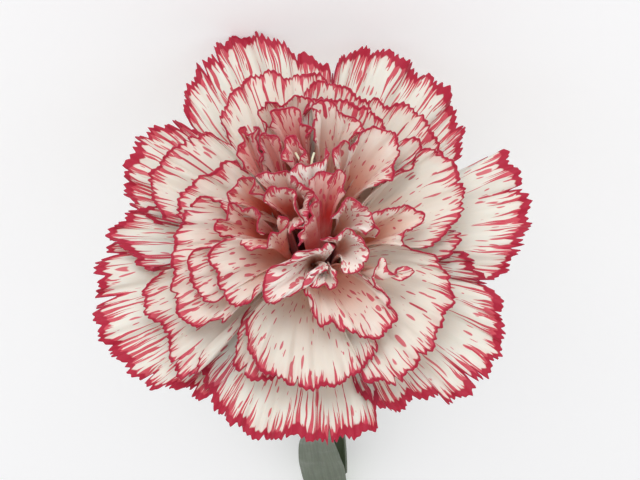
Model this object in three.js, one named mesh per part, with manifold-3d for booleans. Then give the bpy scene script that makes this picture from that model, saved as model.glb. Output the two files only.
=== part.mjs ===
// A cut carnation, lying on its side: a double bloom of many separate petals held in a tubular calyx,
// on a cut stem with one pair of leaves. Millimetres, +Z up.
//
// Everything is shaped in the bloom's face frame and then laid down as a whole. In the face frame +Z
// looks out of the bloom, +Y is the side that the bloom leans to, and the origin is the middle of the
// bloom's outline.
import * as THREE from 'three';
import { mergeVertices } from 'three/addons/utils/BufferGeometryUtils.js';
import Module from 'manifold-3d';

// ---------------------------------------------------------------- driving sizes
const bloomWidth = 75.5;          // across the guard petals
const bloomDepth = 1.0;           // 1 is the natural doming of the bloom
const petalThickness = 0.3;
const clearance = 0.3;            // between one piece and the next

const bloomLean = 22;             // degrees between the stem and the way the bloom faces
const calyxLength = 30;
const calyxMouthRadius = 7.5;     // outside
const calyxWaistRadius = 5.4;     // outside, above the bracts
const calyxFootRadius = 3.4;      // outside, where the stem meets it
const calyxWall = 0.6;
const calyxTeeth = 5;
const calyxToothLength = 5.5;

const stemLength = 120;
const stemDiameter = 5;
const stemBow = 5;                // how far the stem's end bends sideways
const stemCutAngle = 42;          // degrees from a square cut
const nodeDiameter = 7.6;         // the swollen joint that carries the leaves
const nodeDistance = 22;          // from the cut end

const leafLength = 82;
const leafWidth = 9;
const leafThickness = 0.7;
const leafSpread = 11;            // how far a leaf's tip stands off the stem

const bractLength = 11;
const bractThickness = 0.45;

const ovaryLength = 11;
const ovaryRadius = 1.35;
const styleDiameter = 0.6;

// ---------------------------------------------------------------- the face frame
const lean = THREE.MathUtils.degToRad(bloomLean);
const throat = new THREE.Vector3(0, -4, -6);          // middle of the calyx mouth
const axis = new THREE.Vector3(0, Math.sin(lean), Math.cos(lean));
const across = new THREE.Vector3(1, 0, 0);
const upward = new THREE.Vector3().crossVectors(axis, across);

/** A point given by its height above the calyx mouth, its radius and its angle round the axis. */
function atThroat(height, radius, angle) {
  return throat.clone()
    .addScaledVector(axis, height)
    .addScaledVector(across, radius * Math.cos(angle))
    .addScaledVector(upward, radius * Math.sin(angle));
}

// ---------------------------------------------------------------- petals
// Each ring of petals has its claws on one circle inside the calyx. `rise` is the height at which a
// ring's petals turn outwards. A petal is given by its rim, from one side to the other: each point is
// [x, y, lift], in millimetres on a bloom of the reference width, where lift is the height above the
// shallow cone of the guard petals. A petal of one of the bloom's side rosettes also has the rosette's
// heart, which it passes on its way `through` to its rim.
const referenceWidth = 75.5;
const guardMiddle = -1;
const guardSlope = 0.19;

const rings = [
  {
    name: 'heart', rise: 16, petals: [
      { through: [-9.5, 12.5, 8], rim: [[-12.2, 11, 12.5], [-12.4, 15, 13], [-11.9, 18, 13], [-11, 17, 13.5],
        [-9.8, 18.6, 13], [-9.3, 16.2, 13.5], [-9, 12.5, 14]] },
      { through: [-5.5, 13, 9], rim: [[-8.8, 12.5, 14], [-9, 15.8, 14], [-7.8, 17.5, 14.5], [-6.4, 16.7, 15],
        [-5.5, 14.4, 15.5]] },
      { through: [0, 10, 12], rim: [[-2.1, 12.6, 16.5], [-1.9, 15, 16.2], [-2.9, 16.7, 16],
        [-4.6, 15.6, 16], [-4.9, 13.6, 16.5], [-3.8, 12.2, 17]] },
      { through: [-2.2, 14.5, 8], rim: [[-7.7, 18.6, 13.5], [-6.3, 21.2, 13.5], [-4, 21.6, 13.5],
        [-2, 20.4, 14], [-0.6, 18, 15], [-0.9, 16.8, 15.5]] },
      { rim: [[-3.7, 10.9, 17], [-2.4, 12, 16.7], [-0.4, 11.6, 16.7], [1.2, 12, 16.6], [2.5, 13.6, 16.5],
        [3.2, 15, 16]] },
      { rim: [[-0.6, 9.7, 16.5], [0.8, 10.4, 16.5], [3, 10.2, 16.5], [4.6, 11, 16.2], [5.4, 9.2, 16.2],
        [6.1, 7.2, 16.2]] },
      { rim: [[0.9, 6.8, 18.5], [0.3, 4, 19], [-0.7, 1.4, 19], [-1.8, -0.8, 18.5], [-2.6, -2.2, 18]] },
    ],
  },
  {
    name: 'inner', rise: 15, petals: [
      { through: [-6, 5, 11], rim: [[-10.2, 10, 15], [-8, 10.7, 15], [-5, 10.5, 15.5], [-2.7, 9.5, 16],
        [-1, 7.6, 16.5], [-0.3, 5, 16.5], [-0.7, 2.6, 16.5], [-2.4, 0.4, 16]] },
      { through: [-11, 0.5, 7], rim: [[-13.2, -2, 12.5], [-16.5, 1.5, 12.5], [-14.6, 4, 13], [-12.2, 4.9, 13.5],
        [-10, 3.9, 14], [-8.7, 1.8, 14.5], [-7.4, 0, 14.5]] },
      { through: [-7.5, 0, 12], rim: [[-12.6, -0.8, 14], [-10.5, -3, 14.5], [-8, -1.6, 15], [-5.8, 0.1, 15.5],
        [-4.3, 1.8, 15.5], [-5.4, 3.4, 15.5]] },
      { through: [-10.5, 6, 10], rim: [[-14.2, 5, 13], [-13.9, 7.4, 13.5], [-12.5, 9.2, 13.5], [-10.6, 9.4, 14],
        [-9.4, 8, 14.5], [-8.7, 6.2, 14.5]] },
      { through: [-5.5, 3.5, 12], rim: [[-8.2, 5.6, 14.5], [-7.4, 7.8, 15], [-5.4, 8.2, 15.5], [-3.5, 7.1, 16],
        [-2.5, 4.8, 16], [-2.4, 2, 16], [-3.4, -0.6, 15.5]] },
      { through: [6.4, 2.4, 14.5], rim: [[4, 2.6, 18], [4.6, 5, 17.5], [6.2, 5.9, 17], [8.4, 5.4, 16.5],
        [9.8, 4, 16], [10.4, 1.6, 16], [9.7, -0.6, 15.5]] },
      { through: [5.8, -2.4, 14.5], rim: [[1.4, -1.6, 17.5], [3.6, -0.4, 17.5], [5.4, 0.6, 17], [7.6, 0, 16.5],
        [9.3, -2.2, 16], [9.3, -5, 15.5], [7.4, -6.6, 15.5], [5.2, -6, 16]] },
      { through: [4, -4.2, 15], rim: [[3.8, -2.3, 16.5], [1, -2.2, 17], [-1.6, -3.2, 17], [-4.6, -4.9, 16.5],
        [-7.4, -6.6, 15.5], [-8.2, -9, 14.8], [-7.2, -11.6, 14], [-4.6, -11.2, 14.2], [-2, -8.8, 14.8],
        [0.6, -6.6, 15], [2.6, -6.4, 15]] },
      { through: [1.6, -5.4, 12.5], rim: [[-1.6, -8, 13.8], [-0.4, -9, 14], [1, -9.6, 14], [2.2, -8.8, 14.4],
        [3.2, -9.3, 14.2], [4.4, -8.2, 14.4], [4.8, -6.6, 14.6]] },
    ],
  },
  {
    name: 'middle', rise: 12, petals: [
      { rim: [[10.8, -9, 12.5], [13.3, -10.6, 12], [13, -12.6, 12], [14, -15, 11], [12.4, -17.4, 10.5],
        [9, -17.6, 10.5], [5.4, -16.6, 11], [3, -15.2, 12], [1, -15.4, 13], [-0.1, -13.2, 13.5],
        [0, -11.4, 14], [-1.2, -9.7, 14.5]] },
      { rim: [[-15.5, 3.5, 10.5], [-16.5, 6.5, 10], [-20, 5.8, 9.5], [-23, 1, 9], [-23.9, -5, 9],
        [-23.6, -10.5, 9], [-21.8, -15, 9], [-18, -15.6, 9.5], [-14.8, -14, 10]] },
      { rim: [[-17.5, -2, 13], [-20, -3, 12.5], [-21, -6.5, 12], [-19.6, -10, 12], [-17.4, -11.3, 12],
        [-14.8, -11.2, 12.5]] },
      { rim: [[-16.5, -1, 14.5], [-17.4, -3.5, 14], [-16, -8, 13.5], [-13.8, -12, 13], [-12, -12.6, 13],
        [-10.4, -9.5, 13.5]] },
      { through: [11.5, -1, 11], rim: [[10.2, -0.4, 15.5], [10.6, 2.4, 15.5], [12.2, 4, 15], [14.4, 4.9, 14.2],
        [17, 4.4, 13.2], [19.2, 3.4, 12.6], [18.2, 1.4, 13.2], [16, 0.4, 14.4], [15.6, -2.2, 14.6]] },
      { through: [6.6, 9.4, 9], rim: [[3, 12.4, 16.4], [4, 14.9, 16], [5.4, 16, 15.4], [6.4, 14.6, 15],
        [7.2, 16.6, 14.5], [9, 17.8, 14], [12, 18.2, 13.2], [14.4, 17, 13], [14.6, 13.4, 13],
        [14, 10.4, 13.6], [11.6, 8.5, 14.6]] },
      { through: [11.5, -7.6, 12.5], rim: [[9.5, -9, 14], [10.6, -6.6, 14.5], [12.2, -4.2, 14],
        [13.4, -6, 13.5], [15.4, -5.6, 13], [17.6, -6.4, 12], [15.4, -8.4, 12]] },
      { through: [-4, 16, 5], rim: [[-8.4, 17.4, 13], [-8.9, 20.6, 12], [-7.9, 22.7, 11.5],
        [-5.6, 22.4, 12], [-4, 22.8, 12], [-2.4, 23.7, 12], [-0.6, 23.4, 12], [-0.4, 21, 12.5]] },
      { through: [3.4, 14, 10], rim: [[0.3, 16.4, 15.4], [0.4, 20, 13.8], [1.2, 23, 12.6], [3.4, 22.4, 12.8],
        [5.8, 20.4, 13.6], [8, 19.6, 13.4], [8.6, 17.4, 14], [7.2, 16.2, 14.6]] },
    ],
  },
  {
    name: 'outer', rise: 8, petals: [
      { rim: [[-15, 16.5, 6], [-16, 20, 6], [-14.3, 23.8, 7], [-11.5, 26.7, 6], [-7.5, 28.3, 7],
        [-3.8, 27, 6], [0, 28.2, 6.5], [3.2, 27, 6.5]] },
      { rim: [[-1.8, 23.8, 9], [0, 26.2, 8.5], [3, 26.2, 9], [6.5, 25, 8.5], [9.5, 22.8, 9],
        [10.8, 20.5, 9.5]] },
      { rim: [[-1.8, 22.5, 11], [0.5, 23.4, 11], [4.5, 23.2, 11.5], [8.5, 22, 11], [11.5, 20.3, 11.5],
        [13, 18, 11.5]] },
      { rim: [[8.5, 22.5, 6.5], [10.5, 23.6, 6.5], [13.3, 22.4, 6], [16.5, 22.7, 6.5], [19.5, 20, 6],
        [22, 15.8, 6.5], [23.2, 12, 7]] },
      { rim: [[14, 17.5, 10], [15.6, 16.7, 10], [17.4, 16.6, 10], [18.7, 15.2, 10], [17.8, 12.8, 10]] },
      { rim: [[13.5, 9.5, 11], [15.8, 11.3, 10.5], [18.3, 14.4, 9], [21.8, 14, 8.5], [25, 11, 8],
        [26.2, 6, 7.5], [24.9, 2.2, 8], [23, -0.3, 8.5], [20.3, -2.2, 9.5]] },
      { rim: [[22, -1, 6], [23.8, 0.6, 6], [25.7, 0, 6], [25.2, -2.2, 6], [24, -4.2, 6]] },
      { rim: [[17, -2, 9], [20, -3.4, 8.5], [23.4, -7, 8], [24.2, -11.5, 7.5], [22.2, -15, 8],
        [20.6, -19.4, 7.5], [17.2, -22.8, 8], [14.3, -25.6, 7], [10.5, -25.2, 7.5], [8.7, -23, 8]] },
      { rim: [[-10.9, -15, 9], [-11.4, -19, 8], [-9, -22.6, 8], [-4.8, -25.2, 7], [0, -26.5, 7.5],
        [5, -25.4, 7.5], [8.9, -22.8, 8], [11.1, -19.5, 8.5], [11.5, -16, 9.5]] },
      { rim: [[-12.8, -15, 5], [-12.8, -19, 5], [-13.6, -22.3, 4.5], [-10.4, -24.9, 4.5], [-6.4, -25.6, 5]] },
      { rim: [[-27.8, -7, 5], [-29, -11, 4.5], [-28.4, -14, 5], [-24.8, -17.2, 4.5], [-24.4, -21, 4],
        [-22.6, -24.7, 4], [-20.5, -24.2, 4.5], [-19.5, -21, 5]] },
      { rim: [[-15, 16.7, 6], [-19.2, 17.5, 5.5], [-24.5, 14.4, 5.5], [-28, 10, 5], [-27.4, 6, 5.5],
        [-25, 2.6, 6], [-22.5, 1.5, 6.5]] },
      { rim: [[-23.8, 2.5, 8.5], [-23, 6, 8.5], [-20, 9.2, 8.5], [-17, 11, 9], [-14, 12.6, 9],
        [-12.8, 11, 9.5]] },
    ],
  },
  {
    name: 'guard', rise: 3, petals: [
      { rim: [[-22.8, 21, 0], [-22.2, 26, -0.5], [-19, 31, 1], [-13.5, 34.8, -1], [-8.5, 35.2, 1],
        [-3.5, 32.4, -0.5], [1, 31, 0.5], [3.2, 30, 0]] },
      { rim: [[3.6, 28.6, 1], [5.5, 31.5, 1], [10, 32.6, -0.5], [15.5, 31.4, 1], [19.5, 28.6, -1],
        [23.7, 26, 1], [25.5, 20.5, -1], [27, 16.5, 0.5], [25.5, 13, 2]] },
      { rim: [[28, 10.5, -1], [30.5, 13.4, -1], [33.6, 14.6, 0], [36, 11, 0.5], [38, 5.6, -0.5],
        [37.4, 0, 0.5], [34.8, -5, -0.5], [31.5, -9, 0]] },
      { rim: [[23.5, -5, 3.5], [25, -3, 4], [27, -3.4, 3.5], [29, -5.6, 2.5], [30.6, -8.6, 1.5]] },
      { rim: [[32.4, -9.5, 0], [33.2, -15, 1], [32.8, -20.8, -1], [29.5, -25.4, 1], [25, -29, -1],
        [19.5, -28.3, 1], [14, -30.6, -0.5], [9.5, -28.8, 0.5], [7.5, -24.5, 1]] },
      { rim: [[-18.5, -17, 2], [-20.2, -22, 0.5], [-18.4, -27, -1], [-14.5, -32.4, 0.5], [-8.5, -35.3, -0.5],
        [-2.5, -35, 1], [2.5, -36.2, -0.5], [7.5, -34.6, 0.5], [11, -33.6, -1], [12, -30.3, 1]] },
      { rim: [[-22, -21, -1.5], [-22, -24.5, -2], [-21, -28.3, -2], [-18.4, -28.4, -1.5], [-15.5, -27, -1]] },
      { rim: [[-36, -1.5, 0], [-37.7, -6, 1], [-37.4, -11, -1], [-37.7, -15.5, 1], [-35, -20.6, -1],
        [-31.5, -24, 0.5], [-27, -27, -0.5], [-22.6, -27.2, 0]] },
      { rim: [[-29, 5.5, 3], [-32.5, 3.2, 2.5], [-35.8, -0.4, 1.5], [-33, -2.6, 2.5], [-28.5, -6, 3],
        [-25.5, -5.2, 3.5]] },
      { rim: [[-20, 18.5, 1], [-25, 19.8, 0.5], [-29.8, 17.4, -0.5], [-32.4, 13, 0.5], [-32.8, 8.8, -0.5],
        [-31.4, 5, 1], [-29, 2, 2]] },
    ],
  },
];

const clawWidth = calyxMouthRadius * 0.25;
const clawFootScale = 0.66;       // the bundle of claws narrows to this share at its foot
const clawLength = 23.5;
const heartRingRadius = calyxMouthRadius * 0.375;
const limbClimb = 0.85;           // share of the rise that a petal climbs before it turns outwards
const limbReach = 0.45;           // share of the way to the rim over which it runs straight
const limbFlare = 0.2;            // how much it bends back at the rim
const rosettePull = 0.45;         // how soon a petal heads for its rosette's heart
const rosetteSpread = 0.3;        // how far from the rosette's heart it passes it
const limbRows = 4;
const fewestColumns = 6;
const mostColumns = 9;
const cutTolerance = 0.04;        // cut edges are smoothed by less than this
const weldDistance = 0.001;       // points closer than this are one point

/** The rim point of a petal in the face frame, from its [x, y, lift]. */
function rimPoint([x, y, lift]) {
  const spread = bloomWidth / referenceWidth;
  const depth = guardMiddle - guardSlope * y + lift;
  return new THREE.Vector3(
    throat.x + (x - throat.x) * spread,
    throat.y + (y - throat.y) * spread,
    throat.z + (depth - throat.z) * bloomDepth,
  );
}

/** The angle round the axis at which a petal's rim lies. */
function petalAngle(rim) {
  const middle = rim.getPointAt(0.5).sub(throat);
  return Math.atan2(middle.dot(upward), middle.dot(across));
}

/** Gives each petal of a ring a claw on the ring's circle, evenly spaced and in the petals' order. */
function placeClaws(rims) {
  const order = rims.map((rim, index) => ({ index, angle: petalAngle(rim) }));
  order.sort((first, second) => first.angle - second.angle);
  const pitch = (2 * Math.PI) / rims.length;
  let turn = 0;
  order.forEach((petal, place) => { turn += (petal.angle - place * pitch) / rims.length; });
  const angles = [];
  order.forEach((petal, place) => { angles[petal.index] = turn + place * pitch; });
  return angles;
}

/** The surface of one petal: v runs from the claw's foot (-1) through the calyx mouth (0) to the rim (1). */
function petalSurface(rim, clawAngle, ringRadius, rise, through) {
  const crest = throat.clone().addScaledVector(axis, rise);
  const tangent = across.clone().multiplyScalar(-Math.sin(clawAngle))
    .addScaledVector(upward, Math.cos(clawAngle));
  const middle = rim.getPointAt(0.5).sub(throat);
  const start = rim.getPoint(0).sub(rim.getPoint(1));
  const side = Math.sign(start.dot(tangent)) || 1;
  const outward = middle.clone().addScaledVector(axis, -middle.dot(axis)).normalize();
  const limb = (u, v) => {
    const foot = atThroat(0, ringRadius, clawAngle).addScaledVector(tangent, side * (0.5 - u) * clawWidth);
    const end = rim.getPoint(u);
    const ray = end.clone().sub(crest);
    const reach = ray.length() * limbReach;
    ray.normalize().addScaledVector(outward, limbFlare).normalize();
    const climb = foot.clone().addScaledVector(axis, rise * limbClimb);
    const turn = end.clone().addScaledVector(ray, -reach);
    if (through) {
      climb.lerp(through, rosettePull);
      turn.copy(through).lerp(end, rosetteSpread);
    }
    return new THREE.CubicBezierCurve3(foot, climb, turn, end).getPoint(v);
  };
  return (u, v) => {
    if (v >= 0) return limb(u, v);
    const narrowing = 1 + v * (1 - clawFootScale);
    return atThroat(v * clawLength, ringRadius * narrowing, clawAngle)
      .addScaledVector(tangent, side * (0.5 - u) * clawWidth * narrowing);
  };
}

// ---------------------------------------------------------------- thin sheets
/**
 * A closed solid of one thickness on both sides of a surface.
 * `columns` and `rows` are lists of the u and v at which the surface is read, and `margin` widens the
 * sheet past its own edges.
 */
function sheetGeometry(surface, columns, rows, thickness, margin = 0) {
  const grid = rows.map((v) => columns.map((u) => surface(u, v)));
  const lastRow = rows.length - 1;
  const lastColumn = columns.length - 1;
  const normals = grid.map((row, j) => row.map((point, i) => {
    const along = grid[j][Math.min(i + 1, lastColumn)].clone().sub(grid[j][Math.max(i - 1, 0)]);
    const up = grid[Math.min(j + 1, lastRow)][i].clone().sub(grid[Math.max(j - 1, 0)][i]);
    return along.cross(up).normalize();
  }));
  const edges = grid.map((row, j) => row.map((point, i) => {
    const outwards = new THREE.Vector3();
    if (i === 0) outwards.add(point.clone().sub(grid[j][1]).normalize());
    if (i === lastColumn) outwards.add(point.clone().sub(grid[j][lastColumn - 1]).normalize());
    if (j === 0) outwards.add(point.clone().sub(grid[1][i]).normalize());
    if (j === lastRow) outwards.add(point.clone().sub(grid[lastRow - 1][i]).normalize());
    return outwards.multiplyScalar(margin);
  }));
  const positions = [];
  for (const face of [1, -1]) {
    grid.forEach((row, j) => row.forEach((point, i) => {
      const corner = point.clone().add(edges[j][i]).addScaledVector(normals[j][i], face * thickness / 2);
      positions.push(corner.x, corner.y, corner.z);
    }));
  }
  const width = columns.length;
  const back = width * rows.length;
  const triangles = [];
  const quad = (a, b, c, d) => triangles.push(a, b, c, a, c, d);
  for (let j = 0; j < lastRow; j += 1) {
    for (let i = 0; i < lastColumn; i += 1) {
      const corner = j * width + i;
      quad(corner, corner + 1, corner + width + 1, corner + width);
      quad(back + corner, back + corner + width, back + corner + width + 1, back + corner + 1);
    }
    const left = j * width;
    const right = left + lastColumn;
    quad(left, left + width, back + left + width, back + left);
    quad(right, back + right, back + right + width, right + width);
  }
  for (let i = 0; i < lastColumn; i += 1) {
    const top = lastRow * width + i;
    quad(i, back + i, back + i + 1, i + 1);
    quad(top, top + 1, back + top + 1, back + top);
  }
  const geometry = new THREE.BufferGeometry();
  geometry.setAttribute('position', new THREE.Float32BufferAttribute(positions, 3));
  geometry.setIndex(triangles);
  return geometry;
}

/** Evenly spaced numbers from first to last. */
function steps(first, last, count) {
  return Array.from({ length: count + 1 }, (unused, index) => first + (last - first) * index / count);
}

// ---------------------------------------------------------------- solids
const wasm = await Module();
wasm.setup();

/** The solid inside a closed geometry. */
function toSolid(geometry) {
  const bare = geometry.clone();
  bare.deleteAttribute('normal');
  bare.deleteAttribute('uv');
  const merged = mergeVertices(bare, weldDistance);
  return new wasm.Manifold(new wasm.Mesh({
    numProp: 3,
    vertProperties: new Float32Array(merged.attributes.position.array),
    triVerts: new Uint32Array(merged.index.array),
  }));
}

/** The closed geometry of a solid. */
function toGeometry(solid) {
  const mesh = solid.getMesh();
  const geometry = new THREE.BufferGeometry();
  geometry.setAttribute('position', new THREE.Float32BufferAttribute(mesh.vertProperties, 3));
  geometry.setIndex(Array.from(mesh.triVerts));
  geometry.computeVertexNormals();
  return geometry;
}

/** The largest of the bodies that a solid falls into once its points are welded. */
function largestBody(solid) {
  const bodies = toSolid(toGeometry(solid)).decompose();
  return bodies.reduce((best, body) => (body.volume() > best.volume() ? body : best));
}

// ---------------------------------------------------------------- the flower
const flower = new THREE.Group();

/** Adds one named piece to the flower. */
function addPiece(name, geometry, color, roughness) {
  const material = new THREE.MeshStandardMaterial({ color, roughness, metalness: 0 });
  const mesh = new THREE.Mesh(geometry, material);
  mesh.name = name;
  flower.add(mesh);
  return mesh;
}

/** Turns a geometry made round +Y so that its +Y is the flower's axis, with its origin at the throat. */
function standOnAxis(geometry) {
  geometry.applyQuaternion(new THREE.Quaternion().setFromUnitVectors(new THREE.Vector3(0, 1, 0), axis));
  geometry.translate(throat.x, throat.y, throat.z);
  return geometry;
}

/** A turned solid on the flower's axis, from [radius, height] pairs that start and end on the axis. */
function turned(profile, segments) {
  const points = profile.map(([radius, height]) => new THREE.Vector2(radius, height));
  return standOnAxis(new THREE.LatheGeometry(points, segments));
}

const greenMatt = 0.6;
const petalWhite = 0xf3e3dc;
const petalMatt = 0.75;

// Calyx: a tube with five pointed teeth, closed at its foot.
const toothTip = -0.8;                                 // the teeth end just under the petals' turn
const calyxFoot = -calyxLength;
const calyxWaist = calyxFoot + calyxLength * 0.3;
const cupFloor = calyxFoot + 3;

function calyxOuterRadius(height) {
  if (height < calyxWaist) {
    const share = (height - calyxFoot) / (calyxWaist - calyxFoot);
    return calyxFootRadius + (calyxWaistRadius - calyxFootRadius) * Math.sin(share * Math.PI / 2);
  }
  const share = (height - calyxWaist) / (0 - calyxWaist);
  return calyxWaistRadius + (calyxMouthRadius - calyxWaistRadius) * share;
}

function calyxSolid() {
  const outside = steps(calyxFoot, calyxWaist, 3).concat(steps(calyxWaist, toothTip, 3).slice(1));
  const inside = [toothTip, calyxWaist, cupFloor];
  const profile = [[0, calyxFoot]]
    .concat(outside.map((height) => [calyxOuterRadius(height), height]))
    .concat(inside.map((height) => [calyxOuterRadius(height) - calyxWall, height]))
    .concat([[0, cupFloor]]);
  let tube = toSolid(turned(profile, calyxTeeth * 4));
  const notchWidth = 2 * Math.PI * calyxMouthRadius / calyxTeeth * 0.96;
  const wedge = new THREE.Shape([
    new THREE.Vector2(-notchWidth / 2, 1),
    new THREE.Vector2(0, -calyxToothLength),
    new THREE.Vector2(notchWidth / 2, 1),
  ]);
  for (let tooth = 0; tooth < calyxTeeth; tooth += 1) {
    const notch = new THREE.ExtrudeGeometry(wedge, { depth: calyxMouthRadius * 1.5, bevelEnabled: false });
    notch.rotateY((tooth + 0.5) * 2 * Math.PI / calyxTeeth);
    tube = tube.subtract(toSolid(standOnAxis(notch)));
  }
  return tube;
}

addPiece('calyx', toGeometry(calyxSolid()), 0x8fa57a, greenMatt);

// Receptacle: the stem's flat top inside the calyx, which carries the claws and the ovary.
const receptacleTop = -clawLength - clearance;
const receptacleRadius = calyxOuterRadius(receptacleTop) - calyxWall - clearance;
const receptacleFoot = cupFloor + clearance;
addPiece('receptacle', turned([
  [0, receptacleFoot],
  [calyxOuterRadius(receptacleFoot) - calyxWall - 2 * clearance, receptacleFoot],
  [receptacleRadius, receptacleTop],
  [0, receptacleTop],
], 14), 0xb9c79a, greenMatt);

// Ovary and its two curling styles.
const ovaryFoot = receptacleTop + clearance;
addPiece('ovary', turned([
  [0, ovaryFoot],
  [ovaryRadius * 0.7, ovaryFoot],
  [ovaryRadius, ovaryFoot + ovaryLength * 0.35],
  [ovaryRadius * 0.8, ovaryFoot + ovaryLength * 0.75],
  [0, ovaryFoot + ovaryLength],
], 10), 0xc3d29a, greenMatt);

const styleRoot = ovaryFoot + ovaryLength + clearance;
const styleSpacing = styleDiameter + 2 * clearance;

/** A round thread along a curve. */
function threadGeometry(points, diameter, sides, count) {
  const section = new THREE.Shape();
  section.absarc(0, 0, diameter / 2, 0, 2 * Math.PI, false);
  return new THREE.ExtrudeGeometry(section, {
    curveSegments: sides, steps: count, bevelEnabled: false, extrudePath: new THREE.CatmullRomCurve3(points),
  });
}

/** The points of one style, from the ovary to its curled tip. */
function stylePoints(side) {
  return [
    atThroat(styleRoot, styleSpacing / 2, side),
    atThroat(2, styleSpacing * 0.7, side),
    rimPoint([-0.3 + 0.5 * Math.cos(side), 8, 14]),
    rimPoint([-1 + 0.5 * Math.cos(side), 12, 15.6]),
    rimPoint([-1.2 + 0.9 * Math.cos(side), 13.8, 16]),
    rimPoint([-1.2 + 1.6 * Math.cos(side), 13.9, 15.2]),
  ];
}

const styleSides = [Math.PI, 0];
const keepOut = [];
styleSides.forEach((side, index) => {
  const points = stylePoints(side);
  addPiece(`style_${index + 1}`, threadGeometry(points, styleDiameter, 3, 7), 0xe9ecc8, greenMatt);
  keepOut.push(toSolid(threadGeometry(points, styleDiameter + 2 * clearance, 3, 7)));
});

// Petals, from the heart outwards. A petal gives way to those inside it.
const outerRingRadius = calyxMouthRadius - calyxWall - clearance - petalThickness - 0.1;
const ringPitch = (outerRingRadius - heartRingRadius) / (rings.length - 1);
const petalMeshes = [];
rings.forEach((ring, place) => {
  const rims = ring.petals.map((petal) => new THREE.CatmullRomCurve3(petal.rim.map(rimPoint)));
  const angles = placeClaws(rims);
  rims.forEach((rim, index) => {
    const ringRadius = heartRingRadius + place * ringPitch;
    const petal = ring.petals[index];
    const through = petal.through && rimPoint(petal.through);
    const surface = petalSurface(rim, angles[index], ringRadius, ring.rise * bloomDepth, through);
    const columns = steps(0, 1, Math.max(fewestColumns, Math.min(mostColumns, petal.rim.length)));
    const rows = [-1].concat(steps(0, 1, limbRows));
    const whole = toSolid(sheetGeometry(surface, columns, rows, petalThickness));
    const [room, innerRoom] = [clearance, clearance / 3].map((gap) => (
      toSolid(sheetGeometry(surface, columns, rows, petalThickness + 2 * gap, gap))));
    const trimmed = keepOut.reduce((rest, taken) => rest.subtract(taken), whole);
    const body = largestBody(trimmed.simplify(cutTolerance));
    keepOut.push(room.add(innerRoom));
    const name = `petal_${ring.name}_${index + 1}`;
    petalMeshes.push(addPiece(name, toGeometry(body), petalWhite, petalMatt));
  });
});

// Stem: a rod with a swollen node, bent a little and cut off at a slant.
const stemTop = calyxFoot - clearance;
const stemEnd = stemTop - stemLength;
const nodeHeight = stemEnd + nodeDistance;
const stemRadius = stemDiameter / 2;

/** How far the stem's middle lies to the side at a height. */
function stemShift(height) {
  const share = (stemTop - height) / stemLength;
  return stemBow * share * share;
}

/** Moves points that stand round the straight axis onto the bent stem. */
function bendToStem(geometry) {
  const position = geometry.attributes.position;
  const point = new THREE.Vector3();
  for (let index = 0; index < position.count; index += 1) {
    point.fromBufferAttribute(position, index);
    const height = point.clone().sub(throat).dot(axis);
    point.addScaledVector(across, stemShift(Math.min(height, stemTop)));
    position.setXYZ(index, point.x, point.y, point.z);
  }
  return geometry;
}

function stemSolid() {
  const slantDepth = stemDiameter * Math.tan(THREE.MathUtils.degToRad(stemCutAngle));
  const swelling = (height) => {
    const away = (height - nodeHeight) / (nodeDiameter * 0.45);
    return stemRadius + (nodeDiameter / 2 - stemRadius) * Math.exp(-away * away);
  };
  const below = steps(stemEnd, nodeHeight - nodeDiameter, 2);
  const around = steps(nodeHeight - nodeDiameter, nodeHeight + nodeDiameter, 8).slice(1);
  const above = steps(nodeHeight + nodeDiameter, stemTop - 2, 8).slice(1);
  const profile = [[0, stemEnd]]
    .concat(below.concat(around, above).map((height) => [swelling(height), height]))
    .concat([[calyxFootRadius * 0.92, stemTop], [0, stemTop]]);
  const rod = toSolid(bendToStem(turned(profile, 12)));
  const blade = new THREE.BoxGeometry(stemDiameter * 6, stemDiameter * 3, stemDiameter * 6);
  blade.translate(0, -stemDiameter * 1.5, 0);
  blade.rotateX(THREE.MathUtils.degToRad(stemCutAngle));
  blade.translate(0, stemEnd + slantDepth / 2, 0);
  return rod.subtract(toSolid(bendToStem(standOnAxis(blade))));
}

const stem = addPiece('stem', toGeometry(stemSolid()), 0x7f9a6c, greenMatt);

// Leaves: a pair that clasps the node and runs up beside the stem.
/** The surface of a leaf on one side of the stem, from its sheath (v = 0) to its tip (v = 1). */
function leafSurface(sideAngle) {
  const side = across.clone().multiplyScalar(Math.cos(sideAngle)).addScaledVector(upward, Math.sin(sideAngle));
  const over = new THREE.Vector3().crossVectors(axis, side);
  const claspRadius = nodeDiameter / 2 + clearance + leafThickness / 2;
  return (u, v) => {
    const height = nodeHeight + v * leafLength;
    const stand = claspRadius + leafSpread * v * v;
    const widening = Math.sin(Math.PI * Math.min(1, 0.34 + v * 0.66)) ** 0.8;
    const halfWidth = Math.max(0.5, leafWidth / 2 * widening);
    const curl = claspRadius + 16 * v;
    const turn = (u - 0.5) * 2 * Math.min(1.25, halfWidth / curl);
    return atThroat(height, 0, 0)
      .addScaledVector(across, stemShift(height))
      .addScaledVector(side, stand - curl * (1 - Math.cos(turn)))
      .addScaledVector(over, curl * Math.sin(turn));
  };
}

const leafSides = [-Math.PI / 2, Math.PI / 2];
const leafRows = [0, 0.06, 0.15, 0.3, 0.45, 0.6, 0.75, 0.88, 1];
const leaves = leafSides.map((side, index) => addPiece(
  `leaf_${index + 1}`,
  sheetGeometry(leafSurface(side), steps(0, 1, 4), leafRows, leafThickness),
  0x8ea389,
  greenMatt,
));

// Bracts: two pairs of scales that hug the foot of the calyx, the second pair over the first.
/** The surface of a bract round the calyx at one angle, standing off it by `lift`. */
function bractSurface(angle, lift) {
  return (u, v) => {
    const height = calyxFoot + 1 + v * (bractLength - 1);
    const radius = calyxOuterRadius(height) + lift;
    const halfAngle = 0.72 * Math.max(0.06, Math.cos(v * Math.PI / 2) ** 0.7);
    return atThroat(height, radius, angle + (u - 0.5) * 2 * halfAngle);
  };
}

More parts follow.
